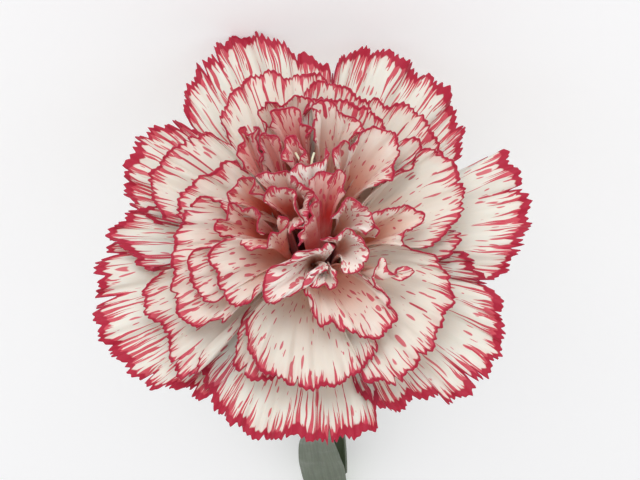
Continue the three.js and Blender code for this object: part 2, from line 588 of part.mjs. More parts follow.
const bractCount = 4;
for (let index = 0; index < bractCount; index += 1) {
  const pair = index % 2;
  const lift = clearance + bractThickness / 2 + pair * (bractThickness + clearance);
  const surface = bractSurface(index * Math.PI / 2 + Math.PI / 4, lift);
  const sheet = sheetGeometry(surface, steps(0, 1, 4), steps(0, 1, 4), bractThickness);
  addPiece(`bract_${index + 1}`, sheet, 0x9aa678, greenMatt);
}

// ---------------------------------------------------------------- laying it down
// The flower rests on the petals of its leaning side and on the stem's end. `tilt` is the angle
// between the table and the way the bloom faces.
/** The lowest point of some meshes once the flower is turned down by a tilt. */
function lowestPoint(meshes, tilt) {
  let lowest = Infinity;
  for (const mesh of meshes) {
    const position = mesh.geometry.attributes.position;
    for (let index = 0; index < position.count; index += 1) {
      const height = position.getZ(index) * Math.sin(tilt) - position.getY(index) * Math.cos(tilt);
      lowest = Math.min(lowest, height);
    }
  }
  return lowest;
}

/** The tilt at which the petals and the stem touch the table together. */
function restingTilt() {
  let low = 0.1;
  let high = 1.3;
  for (let round = 0; round < 40; round += 1) {
    const tilt = (low + high) / 2;
    const petalsLower = lowestPoint(petalMeshes, tilt) < lowestPoint([stem, ...leaves], tilt);
    if (petalsLower) low = tilt;
    else high = tilt;
  }
  return (low + high) / 2;
}

const tilt = restingTilt();
flower.rotation.set(Math.PI / 2 - tilt, 0, Math.PI);
flower.updateMatrixWorld(true);
const box = new THREE.Box3().setFromObject(flower, true);
const middle = box.getCenter(new THREE.Vector3());
flower.position.set(-middle.x, -middle.y, -box.min.z);

const carnation = new THREE.Group();
carnation.add(flower);
export default carnation;
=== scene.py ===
"""A cut carnation lying on its side: a ruffled picotee bloom in a tubular calyx on a short leafy stem.

The bloom is shaped in its face frame, in millimetres: +Z looks out of the bloom, +Y is the side that the
bloom leans to and the origin is the middle of its outline. `FaceFrame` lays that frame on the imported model.
"""
import logging
import math
from dataclasses import dataclass
from enum import Enum
from typing import Sequence

import bmesh
import bpy
import numpy as np
from mathutils import Matrix, Vector


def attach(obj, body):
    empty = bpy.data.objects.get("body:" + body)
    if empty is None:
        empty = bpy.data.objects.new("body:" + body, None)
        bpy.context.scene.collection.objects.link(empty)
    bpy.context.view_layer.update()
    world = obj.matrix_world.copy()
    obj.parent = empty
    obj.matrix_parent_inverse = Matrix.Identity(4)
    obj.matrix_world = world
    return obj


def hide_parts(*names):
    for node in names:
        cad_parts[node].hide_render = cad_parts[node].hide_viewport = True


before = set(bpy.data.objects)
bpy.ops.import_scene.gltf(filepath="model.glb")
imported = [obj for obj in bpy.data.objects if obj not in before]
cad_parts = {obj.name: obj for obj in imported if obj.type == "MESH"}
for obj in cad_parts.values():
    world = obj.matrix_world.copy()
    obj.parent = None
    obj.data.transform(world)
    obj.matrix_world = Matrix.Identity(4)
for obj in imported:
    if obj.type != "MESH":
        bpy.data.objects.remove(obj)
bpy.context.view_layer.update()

logging.basicConfig(level=logging.INFO, format="%(message)s")
log = logging.getLogger("carnation")

MM = 0.001
Point = tuple[float, float, float]
Colour = tuple[float, float, float, float]

# ------------------------------------------------------------------ sizes shared with the model, in mm
BLOOM_LEAN = 22.0            # degrees between the stem and the way the bloom faces
THROAT = np.array((0.0, -4.0, -6.0))
GUARD_MIDDLE = -1.0
GUARD_SLOPE = 0.19
CALYX_LENGTH = 30.0
CALYX_MOUTH_RADIUS = 7.5
CALYX_WAIST_RADIUS = 5.4
CALYX_FOOT_RADIUS = 3.4
CALYX_WALL = 0.6
CALYX_TEETH = 5
TOOTH_LENGTH = 5.5
TOOTH_TIP = -0.8
CLAW_LENGTH = 23.5
CLAW_WIDTH = CALYX_MOUTH_RADIUS * 0.25
CLAW_FOOT_SCALE = 0.66
HEART_RING_RADIUS = CALYX_MOUTH_RADIUS * 0.375
OUTER_RING_RADIUS = 6.2
STEM_LENGTH = 120.0
STEM_DIAMETER = 5.0
STEM_BOW = 5.0
STEM_CUT_ANGLE = 42.0
NODE_DIAMETER = 7.6
NODE_DISTANCE = 22.0
LEAF_LENGTH = 82.0
LEAF_WIDTH = 9.0
LEAF_THICKNESS = 0.7
LEAF_SPREAD = 11.0
BRACT_LENGTH = 11.0
BRACT_THICKNESS = 0.45
OVARY_LENGTH = 11.0
OVARY_RADIUS = 1.35
STYLE_DIAMETER = 0.6
CLEARANCE = 0.3
FINE_SHARE = 0.8             # thickness of a fine green sheet, as a share of the model's

_LEAN = math.radians(BLOOM_LEAN)
AXIS = np.array((0.0, math.sin(_LEAN), math.cos(_LEAN)))
ACROSS = np.array((1.0, 0.0, 0.0))
UPWARD = np.cross(AXIS, ACROSS)


class Ring(Enum):
    """The rings of petals, from the heart of the bloom to its guard petals."""

    HEART = "heart"
    INNER = "inner"
    MIDDLE = "middle"
    OUTER = "outer"
    GUARD = "guard"


@dataclass(frozen=True)
class Rim:
    """A petal's rim, from one side to the other, in mm: each point is x, y and lift, the height above the
    shallow cone of the guard petals. A petal of a side rosette passes the rosette's heart, `through`."""

    points: tuple[Point, ...]
    through: Point | None = None


@dataclass(frozen=True)
class Stripe:
    """A bold crimson stripe: its place along the rim, half its width, and how far in it stops and starts."""

    share: float
    half_width: float
    stop: float
    start: float = 0.0


STRIPES: dict[tuple[Ring, int], tuple[Stripe, ...]] = {
    (Ring.HEART, 1): (Stripe(0.25, 0.2, 4.0), Stripe(0.45, 0.16, 5.0), Stripe(0.7, 0.2, 4.0)),
    (Ring.HEART, 2): (Stripe(0.35, 0.18, 4.5), Stripe(0.6, 0.2, 3.5)),
    (Ring.HEART, 4): (Stripe(0.5, 0.25, 3.0), Stripe(0.62, 0.25, 4.0)),
    (Ring.HEART, 6): (Stripe(0.3, 0.2, 4.0), Stripe(0.55, 0.18, 5.0), Stripe(0.75, 0.22, 3.5)),
    (Ring.HEART, 7): (Stripe(0.3, 0.3, 5.0), Stripe(0.62, 0.25, 4.0)),
    (Ring.INNER, 1): (Stripe(0.2, 0.22, 3.5), Stripe(0.3, 0.3, 3.0), Stripe(0.48, 0.16, 4.0),
                      Stripe(0.66, 0.18, 3.5), Stripe(0.84, 0.16, 3.0)),
    (Ring.INNER, 3): (Stripe(0.3, 0.16, 3.5), Stripe(0.55, 0.2, 3.0)),
    (Ring.INNER, 4): (Stripe(0.2, 0.24, 4.0), Stripe(0.38, 0.2, 4.5), Stripe(0.6, 0.26, 4.0),
                      Stripe(0.8, 0.16, 3.5)),
    (Ring.INNER, 5): (Stripe(0.2, 0.35, 4.0), Stripe(0.45, 0.3, 3.0), Stripe(0.7, 0.3, 4.0)),
    (Ring.INNER, 6): (Stripe(0.3, 0.25, 4.5), Stripe(0.45, 0.2, 4.0), Stripe(0.6, 0.25, 5.0)),
    (Ring.INNER, 7): (Stripe(0.3, 0.25, 4.0), Stripe(0.5, 0.25, 4.0)),
    (Ring.INNER, 8): (Stripe(0.25, 0.2, 4.0), Stripe(0.4, 0.2, 3.5), Stripe(0.75, 0.2, 4.0)),
    (Ring.MIDDLE, 1): (Stripe(0.6, 0.55, 3.4),),
    (Ring.MIDDLE, 4): (Stripe(0.42, 0.3, 4.2, 0.6),),
    (Ring.MIDDLE, 9): (Stripe(0.28, 0.3, 6.0), Stripe(0.42, 0.5, 5.5), Stripe(0.56, 0.2, 4.0)),
    (Ring.OUTER, 1): (Stripe(0.44, 0.15, 9.0, 0.6), Stripe(0.47, 0.16, 8.0, 0.4),
                      Stripe(0.53, 0.32, 8.5, 0.4)),
    (Ring.OUTER, 4): (Stripe(0.5, 0.22, 7.0, 1.5),),
    (Ring.OUTER, 8): (Stripe(0.45, 0.26, 6.4, 2.0),),
    (Ring.OUTER, 12): (Stripe(0.33, 0.22, 7.5, 0.5), Stripe(0.38, 0.22, 8.0, 0.8)),
    (Ring.GUARD, 10): (Stripe(0.66, 0.25, 6.0, 0.5), Stripe(0.71, 0.3, 6.5, 0.5),
                       Stripe(0.76, 0.22, 5.0, 0.5)),
}


PETAL_RIMS: dict[Ring, tuple[Rim, ...]] = {
    Ring.HEART: (
        Rim(((-12.2, 11, 12.5), (-12.4, 15, 13), (-11.9, 18, 13), (-11, 17, 13.5), (-9.8, 18.6, 13),
            (-9.3, 16.2, 13.5), (-9, 12.5, 14)), (-9.5, 12.5, 8)),
        Rim(((-8.8, 12.5, 14), (-9, 15.8, 14), (-7.8, 17.5, 14.5), (-6.4, 16.7, 15),
            (-5.5, 14.4, 15.5)), (-5.5, 13, 9)),
        Rim(((-2.1, 12.6, 16.5), (-1.9, 15, 16.2), (-2.9, 16.7, 16), (-4.6, 15.6, 16), (-4.9, 13.6, 16.5),
            (-3.8, 12.2, 17)), (0, 10, 12)),
        Rim(((-7.7, 18.6, 13.5), (-6.3, 21.2, 13.5), (-4, 21.6, 13.5), (-2, 20.4, 14), (-0.6, 18, 15),
            (-0.9, 16.8, 15.5)), (-2.2, 14.5, 8)),
        Rim(((-3.7, 10.9, 17), (-2.4, 12, 16.7), (-0.4, 11.6, 16.7), (1.2, 12, 16.6), (2.5, 13.6, 16.5),
            (3.2, 15, 16))),
        Rim(((-0.6, 9.7, 16.5), (0.8, 10.4, 16.5), (3, 10.2, 16.5), (4.6, 11, 16.2), (5.4, 9.2, 16.2),
            (6.1, 7.2, 16.2))),
        Rim(((0.9, 6.8, 18.5), (0.3, 4, 19), (-0.7, 1.4, 19), (-1.8, -0.8, 18.5), (-2.6, -2.2, 18))),
    ),
    Ring.INNER: (
        Rim(((-10.2, 10, 15), (-8, 10.7, 15), (-5, 10.5, 15.5), (-2.7, 9.5, 16), (-1, 7.6, 16.5),
            (-0.3, 5, 16.5), (-0.7, 2.6, 16.5), (-2.4, 0.4, 16)), (-6, 5, 11)),
        Rim(((-13.2, -2, 12.5), (-16.5, 1.5, 12.5), (-14.6, 4, 13), (-12.2, 4.9, 13.5), (-10, 3.9, 14),
            (-8.7, 1.8, 14.5), (-7.4, 0, 14.5)), (-11, 0.5, 7)),
        Rim(((-12.6, -0.8, 14), (-10.5, -3, 14.5), (-8, -1.6, 15), (-5.8, 0.1, 15.5), (-4.3, 1.8, 15.5),
            (-5.4, 3.4, 15.5)), (-7.5, 0, 12)),
        Rim(((-14.2, 5, 13), (-13.9, 7.4, 13.5), (-12.5, 9.2, 13.5), (-10.6, 9.4, 14), (-9.4, 8, 14.5),
            (-8.7, 6.2, 14.5)), (-10.5, 6, 10)),
        Rim(((-8.2, 5.6, 14.5), (-7.4, 7.8, 15), (-5.4, 8.2, 15.5), (-3.5, 7.1, 16), (-2.5, 4.8, 16),
            (-2.4, 2, 16), (-3.4, -0.6, 15.5)), (-5.5, 3.5, 12)),
        Rim(((4, 2.6, 18), (4.6, 5, 17.5), (6.2, 5.9, 17), (8.4, 5.4, 16.5), (9.8, 4, 16), (10.4, 1.6, 16),
            (9.7, -0.6, 15.5)), (6.4, 2.4, 14.5)),
        Rim(((1.4, -1.6, 17.5), (3.6, -0.4, 17.5), (5.4, 0.6, 17), (7.6, 0, 16.5), (9.3, -2.2, 16),
            (9.3, -5, 15.5), (7.4, -6.6, 15.5), (5.2, -6, 16)), (5.8, -2.4, 14.5)),
        Rim(((3.8, -2.3, 16.5), (1, -2.2, 17), (-1.6, -3.2, 17), (-4.6, -4.9, 16.5), (-7.4, -6.6, 15.5),
            (-8.2, -9, 14.8), (-7.2, -11.6, 14), (-4.6, -11.2, 14.2), (-2, -8.8, 14.8), (0.6, -6.6, 15),
            (2.6, -6.4, 15)), (4, -4.2, 15)),
        Rim(((-1.6, -8, 13.8), (-0.4, -9, 14), (1, -9.6, 14), (2.2, -8.8, 14.4), (3.2, -9.3, 14.2),
            (4.4, -8.2, 14.4), (4.8, -6.6, 14.6)), (1.6, -5.4, 12.5)),
    ),
    Ring.MIDDLE: (
        Rim(((10.8, -9, 12.5), (13.3, -10.6, 12), (13, -12.6, 12), (14, -15, 11), (12.4, -17.4, 10.5),
            (9, -17.6, 10.5), (5.4, -16.6, 11), (3, -15.2, 12), (1, -15.4, 13), (-0.1, -13.2, 13.5),
            (0, -11.4, 14), (-1.2, -9.7, 14.5))),
        Rim(((-15.5, 3.5, 10.5), (-16.5, 6.5, 10), (-20, 5.8, 9.5), (-23, 1, 9), (-23.9, -5, 9),
            (-23.6, -10.5, 9), (-21.8, -15, 9), (-18, -15.6, 9.5), (-14.8, -14, 10))),
        Rim(((-17.5, -2, 13), (-20, -3, 12.5), (-21, -6.5, 12), (-19.6, -10, 12), (-17.4, -11.3, 12),
            (-14.8, -11.2, 12.5))),
        Rim(((-16.5, -1, 14.5), (-17.4, -3.5, 14), (-16, -8, 13.5), (-13.8, -12, 13), (-12, -12.6, 13),
            (-10.4, -9.5, 13.5))),
        Rim(((10.2, -0.4, 15.5), (10.6, 2.4, 15.5), (12.2, 4, 15), (14.4, 4.9, 14.2), (17, 4.4, 13.2),
            (19.2, 3.4, 12.6), (18.2, 1.4, 13.2), (16, 0.4, 14.4), (15.6, -2.2, 14.6)), (11.5, -1, 11)),
        Rim(((3, 12.4, 16.4), (4, 14.9, 16), (5.4, 16, 15.4), (6.4, 14.6, 15), (7.2, 16.6, 14.5),
            (9, 17.8, 14), (12, 18.2, 13.2), (14.4, 17, 13), (14.6, 13.4, 13), (14, 10.4, 13.6),
            (11.6, 8.5, 14.6)), (6.6, 9.4, 9)),
        Rim(((9.5, -9, 14), (10.6, -6.6, 14.5), (12.2, -4.2, 14), (13.4, -6, 13.5), (15.4, -5.6, 13),
            (17.6, -6.4, 12), (15.4, -8.4, 12)), (11.5, -7.6, 12.5)),
        Rim(((-8.4, 17.4, 13), (-8.9, 20.6, 12), (-7.9, 22.7, 11.5), (-5.6, 22.4, 12), (-4, 22.8, 12),
            (-2.4, 23.7, 12), (-0.6, 23.4, 12), (-0.4, 21, 12.5)), (-4, 16, 5)),
        Rim(((0.3, 16.4, 15.4), (0.4, 20, 13.8), (1.2, 23, 12.6), (3.4, 22.4, 12.8), (5.8, 20.4, 13.6),
            (8, 19.6, 13.4), (8.6, 17.4, 14), (7.2, 16.2, 14.6)), (3.4, 14, 10)),
    ),
    Ring.OUTER: (
        Rim(((-15, 16.5, 6), (-16, 20, 6), (-14.3, 23.8, 7), (-11.5, 26.7, 6), (-7.5, 28.3, 7),
            (-3.8, 27, 6), (0, 28.2, 6.5), (3.2, 27, 6.5))),
        Rim(((-1.8, 23.8, 9), (0, 26.2, 8.5), (3, 26.2, 9), (6.5, 25, 8.5), (9.5, 22.8, 9),
            (10.8, 20.5, 9.5))),
        Rim(((-1.8, 22.5, 11), (0.5, 23.4, 11), (4.5, 23.2, 11.5), (8.5, 22, 11), (11.5, 20.3, 11.5),
            (13, 18, 11.5))),
        Rim(((8.5, 22.5, 6.5), (10.5, 23.6, 6.5), (13.3, 22.4, 6), (16.5, 22.7, 6.5), (19.5, 20, 6),
            (22, 15.8, 6.5), (23.2, 12, 7))),
        Rim(((14, 17.5, 10), (15.6, 16.7, 10), (17.4, 16.6, 10), (18.7, 15.2, 10), (17.8, 12.8, 10))),
        Rim(((13.5, 9.5, 11), (15.8, 11.3, 10.5), (18.3, 14.4, 9), (21.8, 14, 8.5), (25, 11, 8),
            (26.2, 6, 7.5), (24.9, 2.2, 8), (23, -0.3, 8.5), (20.3, -2.2, 9.5))),
        Rim(((22, -1, 6), (23.8, 0.6, 6), (25.7, 0, 6), (25.2, -2.2, 6), (24, -4.2, 6))),
        Rim(((17, -2, 9), (20, -3.4, 8.5), (23.4, -7, 8), (24.2, -11.5, 7.5), (22.2, -15, 8),
            (20.6, -19.4, 7.5), (17.2, -22.8, 8), (14.3, -25.6, 7), (10.5, -25.2, 7.5), (8.7, -23, 8))),
        Rim(((-10.9, -15, 9), (-11.4, -19, 8), (-9, -22.6, 8), (-4.8, -25.2, 7), (0, -26.5, 7.5),
            (5, -25.4, 7.5), (8.9, -22.8, 8), (11.1, -19.5, 8.5), (11.5, -16, 9.5))),
        Rim(((-12.8, -15, 5), (-12.8, -19, 5), (-13.6, -22.3, 4.5), (-10.4, -24.9, 4.5), (-6.4, -25.6, 5))),
        Rim(((-27.8, -7, 5), (-29, -11, 4.5), (-28.4, -14, 5), (-24.8, -17.2, 4.5), (-24.4, -21, 4),
            (-22.6, -24.7, 4), (-20.5, -24.2, 4.5), (-19.5, -21, 5))),
        Rim(((-15, 16.7, 6), (-19.2, 17.5, 5.5), (-24.5, 14.4, 5.5), (-28, 10, 5), (-27.4, 6, 5.5),
            (-25, 2.6, 6), (-22.5, 1.5, 6.5))),
        Rim(((-23.8, 2.5, 8.5), (-23, 6, 8.5), (-20, 9.2, 8.5), (-17, 11, 9), (-14, 12.6, 9),
            (-12.8, 11, 9.5))),
    ),
    Ring.GUARD: (
        Rim(((-22.8, 21, 0), (-22.2, 26, -0.5), (-19, 31, 1), (-13.5, 34.8, -1), (-8.5, 35.2, 1),
            (-3.5, 32.4, -0.5), (1, 31, 0.5), (3.2, 30, 0))),
        Rim(((3.6, 28.6, 1), (5.5, 31.5, 1), (10, 32.6, -0.5), (15.5, 31.4, 1), (19.5, 28.6, -1),
            (23.7, 26, 1), (25.5, 20.5, -1), (27, 16.5, 0.5), (25.5, 13, 2))),
        Rim(((28, 10.5, -1), (30.5, 13.4, -1), (33.6, 14.6, 0), (36, 11, 0.5), (38, 5.6, -0.5),
            (37.4, 0, 0.5), (34.8, -5, -0.5), (31.5, -9, 0))),
        Rim(((23.5, -5, 3.5), (25, -3, 4), (27, -3.4, 3.5), (29, -5.6, 2.5), (30.6, -8.6, 1.5))),
        Rim(((32.4, -9.5, 0), (33.2, -15, 1), (32.8, -20.8, -1), (29.5, -25.4, 1), (25, -29, -1),
            (19.5, -28.3, 1), (14, -30.6, -0.5), (9.5, -28.8, 0.5), (7.5, -24.5, 1))),
        Rim(((-18.5, -17, 2), (-20.2, -22, 0.5), (-18.4, -27, -1), (-14.5, -32.4, 0.5), (-8.5, -35.3, -0.5),
            (-2.5, -35, 1), (2.5, -36.2, -0.5), (7.5, -34.6, 0.5), (11, -33.6, -1), (12, -30.3, 1))),
        Rim(((-22, -21, -1.5), (-22, -24.5, -2), (-21, -28.3, -2), (-18.4, -28.4, -1.5), (-15.5, -27, -1))),
        Rim(((-36, -1.5, 0), (-37.7, -6, 1), (-37.4, -11, -1), (-37.7, -15.5, 1), (-35, -20.6, -1),
            (-31.5, -24, 0.5), (-27, -27, -0.5), (-22.6, -27.2, 0))),
        Rim(((-29, 5.5, 3), (-32.5, 3.2, 2.5), (-35.8, -0.4, 1.5), (-33, -2.6, 2.5), (-28.5, -6, 3),
            (-25.5, -5.2, 3.5))),
        Rim(((-20, 18.5, 1), (-25, 19.8, 0.5), (-29.8, 17.4, -0.5), (-32.4, 13, 0.5), (-32.8, 8.8, -0.5),
            (-31.4, 5, 1), (-29, 2, 2))),
    ),
}

ROWS_CROWDED = 1.45          # how much closer the rows of a limb lie at its rim
CLAW_SPREAD = 0.38           # how much wider a claw grows at the calyx mouth, as a share
OUT_PAST_RIM = 0.6           # mm that the longest teeth stand out past the rim's line
ROUNDED_CORNER = 1.2         # mm cut off the rim at its two ends
STRIPE_TAPER = 1.2           # mm over which a bold stripe comes to its full width
LIMB_CLIMB = 0.85            # share of the rise that a petal climbs before it turns outwards
LIMB_REACH = 0.45            # how far in from its rim it already runs outwards, as a share of its length
LIMB_FLARE = 0.2             # how much it leans away from the flower's axis there
ROSETTE_PULL = 0.45          # how soon a petal heads for its rosette's heart
ROSETTE_SPREAD = 0.3         # how far from the rosette's heart it passes it
# small petals with paler, closely striped tissue
CRUMPLED = {(Ring.INNER, 6), (Ring.INNER, 7), (Ring.INNER, 8), (Ring.INNER, 9), (Ring.HEART, 5)}
RING_RISE = {Ring.HEART: 16.0, Ring.INNER: 15.0, Ring.MIDDLE: 12.0, Ring.OUTER: 8.0, Ring.GUARD: 3.0}


# ------------------------------------------------------------------ frame and helpers
@dataclass(frozen=True)
class FaceFrame:
    """Places the bloom's face frame, in millimetres, in the model's frame, in metres."""

    turn: np.ndarray
    offset: np.ndarray

    @classmethod
    def from_model(cls) -> "FaceFrame":
        """Finds how the flower was laid down, from two turned pieces on its axis.

        Returns:
            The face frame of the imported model.
        """
        receptacle = cls._corners("receptacle").mean(axis=0)
        ovary = cls._corners("ovary")
        tip = ovary[np.argmin(ovary[:, 1])]
        along = tip - receptacle
        tilt = _LEAN + math.atan2(along[2], -along[1])
        sine, cosine = math.sin(tilt), math.cos(tilt)
        turn = np.array(((-1.0, 0.0, 0.0), (0.0, -sine, -cosine), (0.0, -cosine, sine)))
        tip_height = -CLAW_LENGTH + OVARY_LENGTH
        tip_in_face = (THROAT + AXIS * tip_height) * MM
        return cls(turn=turn, offset=tip - turn @ tip_in_face)

    @staticmethod
    def _corners(node: str) -> np.ndarray:
        """The separate corner points of a model node."""
        points = np.array([tuple(vertex.co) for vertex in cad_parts[node].data.vertices])
        return np.unique(np.round(points, 6), axis=0)

    def place(self, points: np.ndarray) -> np.ndarray:
        """Turns face-frame points in mm into model points in metres."""
        return points @ self.turn.T * MM + self.offset


def lifted(points: Sequence[Point]) -> np.ndarray:
    """Face-frame points from x, y and lift."""
    chosen = np.array(points, dtype=float)
    return np.column_stack((chosen[:, :2], GUARD_MIDDLE - GUARD_SLOPE * chosen[:, 1] + chosen[:, 2]))


def on_axis(height: np.ndarray, radius: np.ndarray, angle: np.ndarray) -> np.ndarray:
    """Face-frame points given by height above the calyx mouth, radius and angle round the flower's axis."""
    height, radius, angle = np.broadcast_arrays(height, radius, angle)
    return (THROAT + height[..., None] * AXIS
            + (radius * np.cos(angle))[..., None] * ACROSS
            + (radius * np.sin(angle))[..., None] * UPWARD)


def unit(vectors: np.ndarray) -> np.ndarray:
    """Vectors of length one along the last axis of an array."""
    return vectors / np.maximum(np.linalg.norm(vectors, axis=-1, keepdims=True), 1e-9)


def smooth(value: np.ndarray, low: float, high: float) -> np.ndarray:
    """A soft step from 0 at low to 1 at high."""
    share = np.clip((value - low) / (high - low), 0.0, 1.0)
    return share * share * (3.0 - 2.0 * share)


class Wave:
    """An irregular wave along a line, between -1 and 1, that swings once in about each wavelength."""

    def __init__(self, chance: np.random.RandomState, wavelength: float, length: float) -> None:
        """Draws the wave's crests.

        Args:
            chance: Where the random draws come from.
            wavelength: Mean distance between two crests, in mm.
            length: Length of the line, in mm.
        """
        count = max(4, int(math.ceil(2.0 * length / wavelength)) + 3)
        places = np.arange(count) * wavelength / 2.0 - wavelength * chance.uniform(0.3, 1.0)
        self.places = places + chance.uniform(-0.16, 0.16, count) * wavelength
        signs = np.where(np.arange(count) % 2 == 0, 1.0, -1.0)
        self.heights = signs * chance.uniform(0.35, 1.0, count)

    def __call__(self, where: np.ndarray) -> np.ndarray:
        """The wave's height at places along the line.

        Args:
            where: Places along the line, in mm.

        Returns:
            Heights between -1 and 1.
        """
        slot = np.clip(np.searchsorted(self.places, where) - 1, 0, len(self.places) - 2)
        start, stop = self.places[slot], self.places[slot + 1]
        share = smooth(where, start, stop)
        return self.heights[slot] * (1.0 - share) + self.heights[slot + 1] * share


def grid(columns: int, rows: int) -> list[np.ndarray]:
    """Places across and along a sheet, from 0 to 1, at the points of a grid of so many steps."""
    return np.meshgrid(np.linspace(0.0, 1.0, columns + 1), np.linspace(0.0, 1.0, rows + 1))


def sheet_object(name: str, points: np.ndarray, facts: dict[str, np.ndarray],
                 closed: bool = False) -> bpy.types.Object:
    """Makes a fine sheet by spreading a grid over a surface.

    Args:
        name: Name of the new object.
        points: Model points in metres, rows by columns.
        facts: Named numbers for each point, rows by columns, kept as attributes.
        closed: True where the first and the last column meet, as round a tube.

    Returns:
        The sheet, with its place in its mesh.
    """
    rows, columns = points.shape[0] - 1, points.shape[1] - 1
    sheet = bmesh.new()
    bmesh.ops.create_grid(sheet, x_segments=columns, y_segments=rows, size=0.5)
    spots = np.array([(vert.co.x, vert.co.y) for vert in sheet.verts]) + 0.5
    column = np.rint(spots[:, 0] * columns).astype(int)
    row = np.rint(spots[:, 1] * rows).astype(int)
    for vert, point in zip(sheet.verts, points[row, column]):
        vert.co = point
    for fact, numbers in facts.items():
        layer = sheet.verts.layers.float.new(fact)
        for vert, number in zip(sheet.verts, numbers[row, column]):
            vert[layer] = number
    if closed:
        bmesh.ops.remove_doubles(sheet, verts=sheet.verts, dist=2e-6)
        bmesh.ops.recalc_face_normals(sheet, faces=sheet.faces)
    return finished(name, sheet)


def finished(name: str, shape: bmesh.types.BMesh) -> bpy.types.Object:
    """Turns a bmesh into a smooth-shaded object of the scene.

    Args:
        name: Name of the object.
        shape: The bmesh, which is freed.

    Returns:
        The object.
    """
    mesh = bpy.data.meshes.new(name)
    shape.to_mesh(mesh)
    shape.free()
    mesh.shade_smooth()
    made = bpy.data.objects.new(name, mesh)
    bpy.context.scene.collection.objects.link(made)
    return made


def thicken(piece: bpy.types.Object, thickness: float) -> None:
    """Gives a sheet its thickness, in mm, half to each side, and closes its edge.

    Args:
        piece: The sheet.
        thickness: Its thickness in mm.
    """
    wall = piece.modifiers.new("thickness", "SOLIDIFY")
    wall.thickness = thickness * MM
    wall.offset = 0.0
    wall.use_even_offset = False


def stand_for(piece: bpy.types.Object, node: str, finish: bpy.types.Material) -> None:
    """Dresses a piece and puts it in the place of its model node.

    Args:
        piece: The piece.
        node: Name of the model node.
        finish: What it is dressed in.
    """
    piece.data.materials.append(finish)
    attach(piece, "root")
    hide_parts(node)


@dataclass
class Green:
    """A green part of the flower, drawn in the bloom's face frame."""

    face: FaceFrame
    finish: bpy.types.Material

    def dressed(self, node: str, slot: str, points: np.ndarray, facts: dict[str, np.ndarray],
                wall: float = 0.0, finish: bpy.types.Material | None = None) -> bpy.types.Object:
        """Makes the fine piece of a model node.

        Args:
            node: Name of the model node.
            slot: Not used.
            points: Face-frame points in mm, rows by columns.
            facts: Named numbers for each point.
            wall: Thickness in mm of a sheet, or 0 for a solid tube that closes on itself.
            finish: A finish other than the part's own.

        Returns:
            The piece, in the place of its node.
        """
        round_tube = np.allclose(points[:, 0], points[:, -1])
        piece = sheet_object(f"fine_{node}", self.face.place(points), facts, closed=round_tube)
        if wall:
            thicken(piece, wall)
        stand_for(piece, node, finish or self.finish)
        return piece


# ------------------------------------------------------------------ finishes
RELIEF_STRENGTH = 0.6


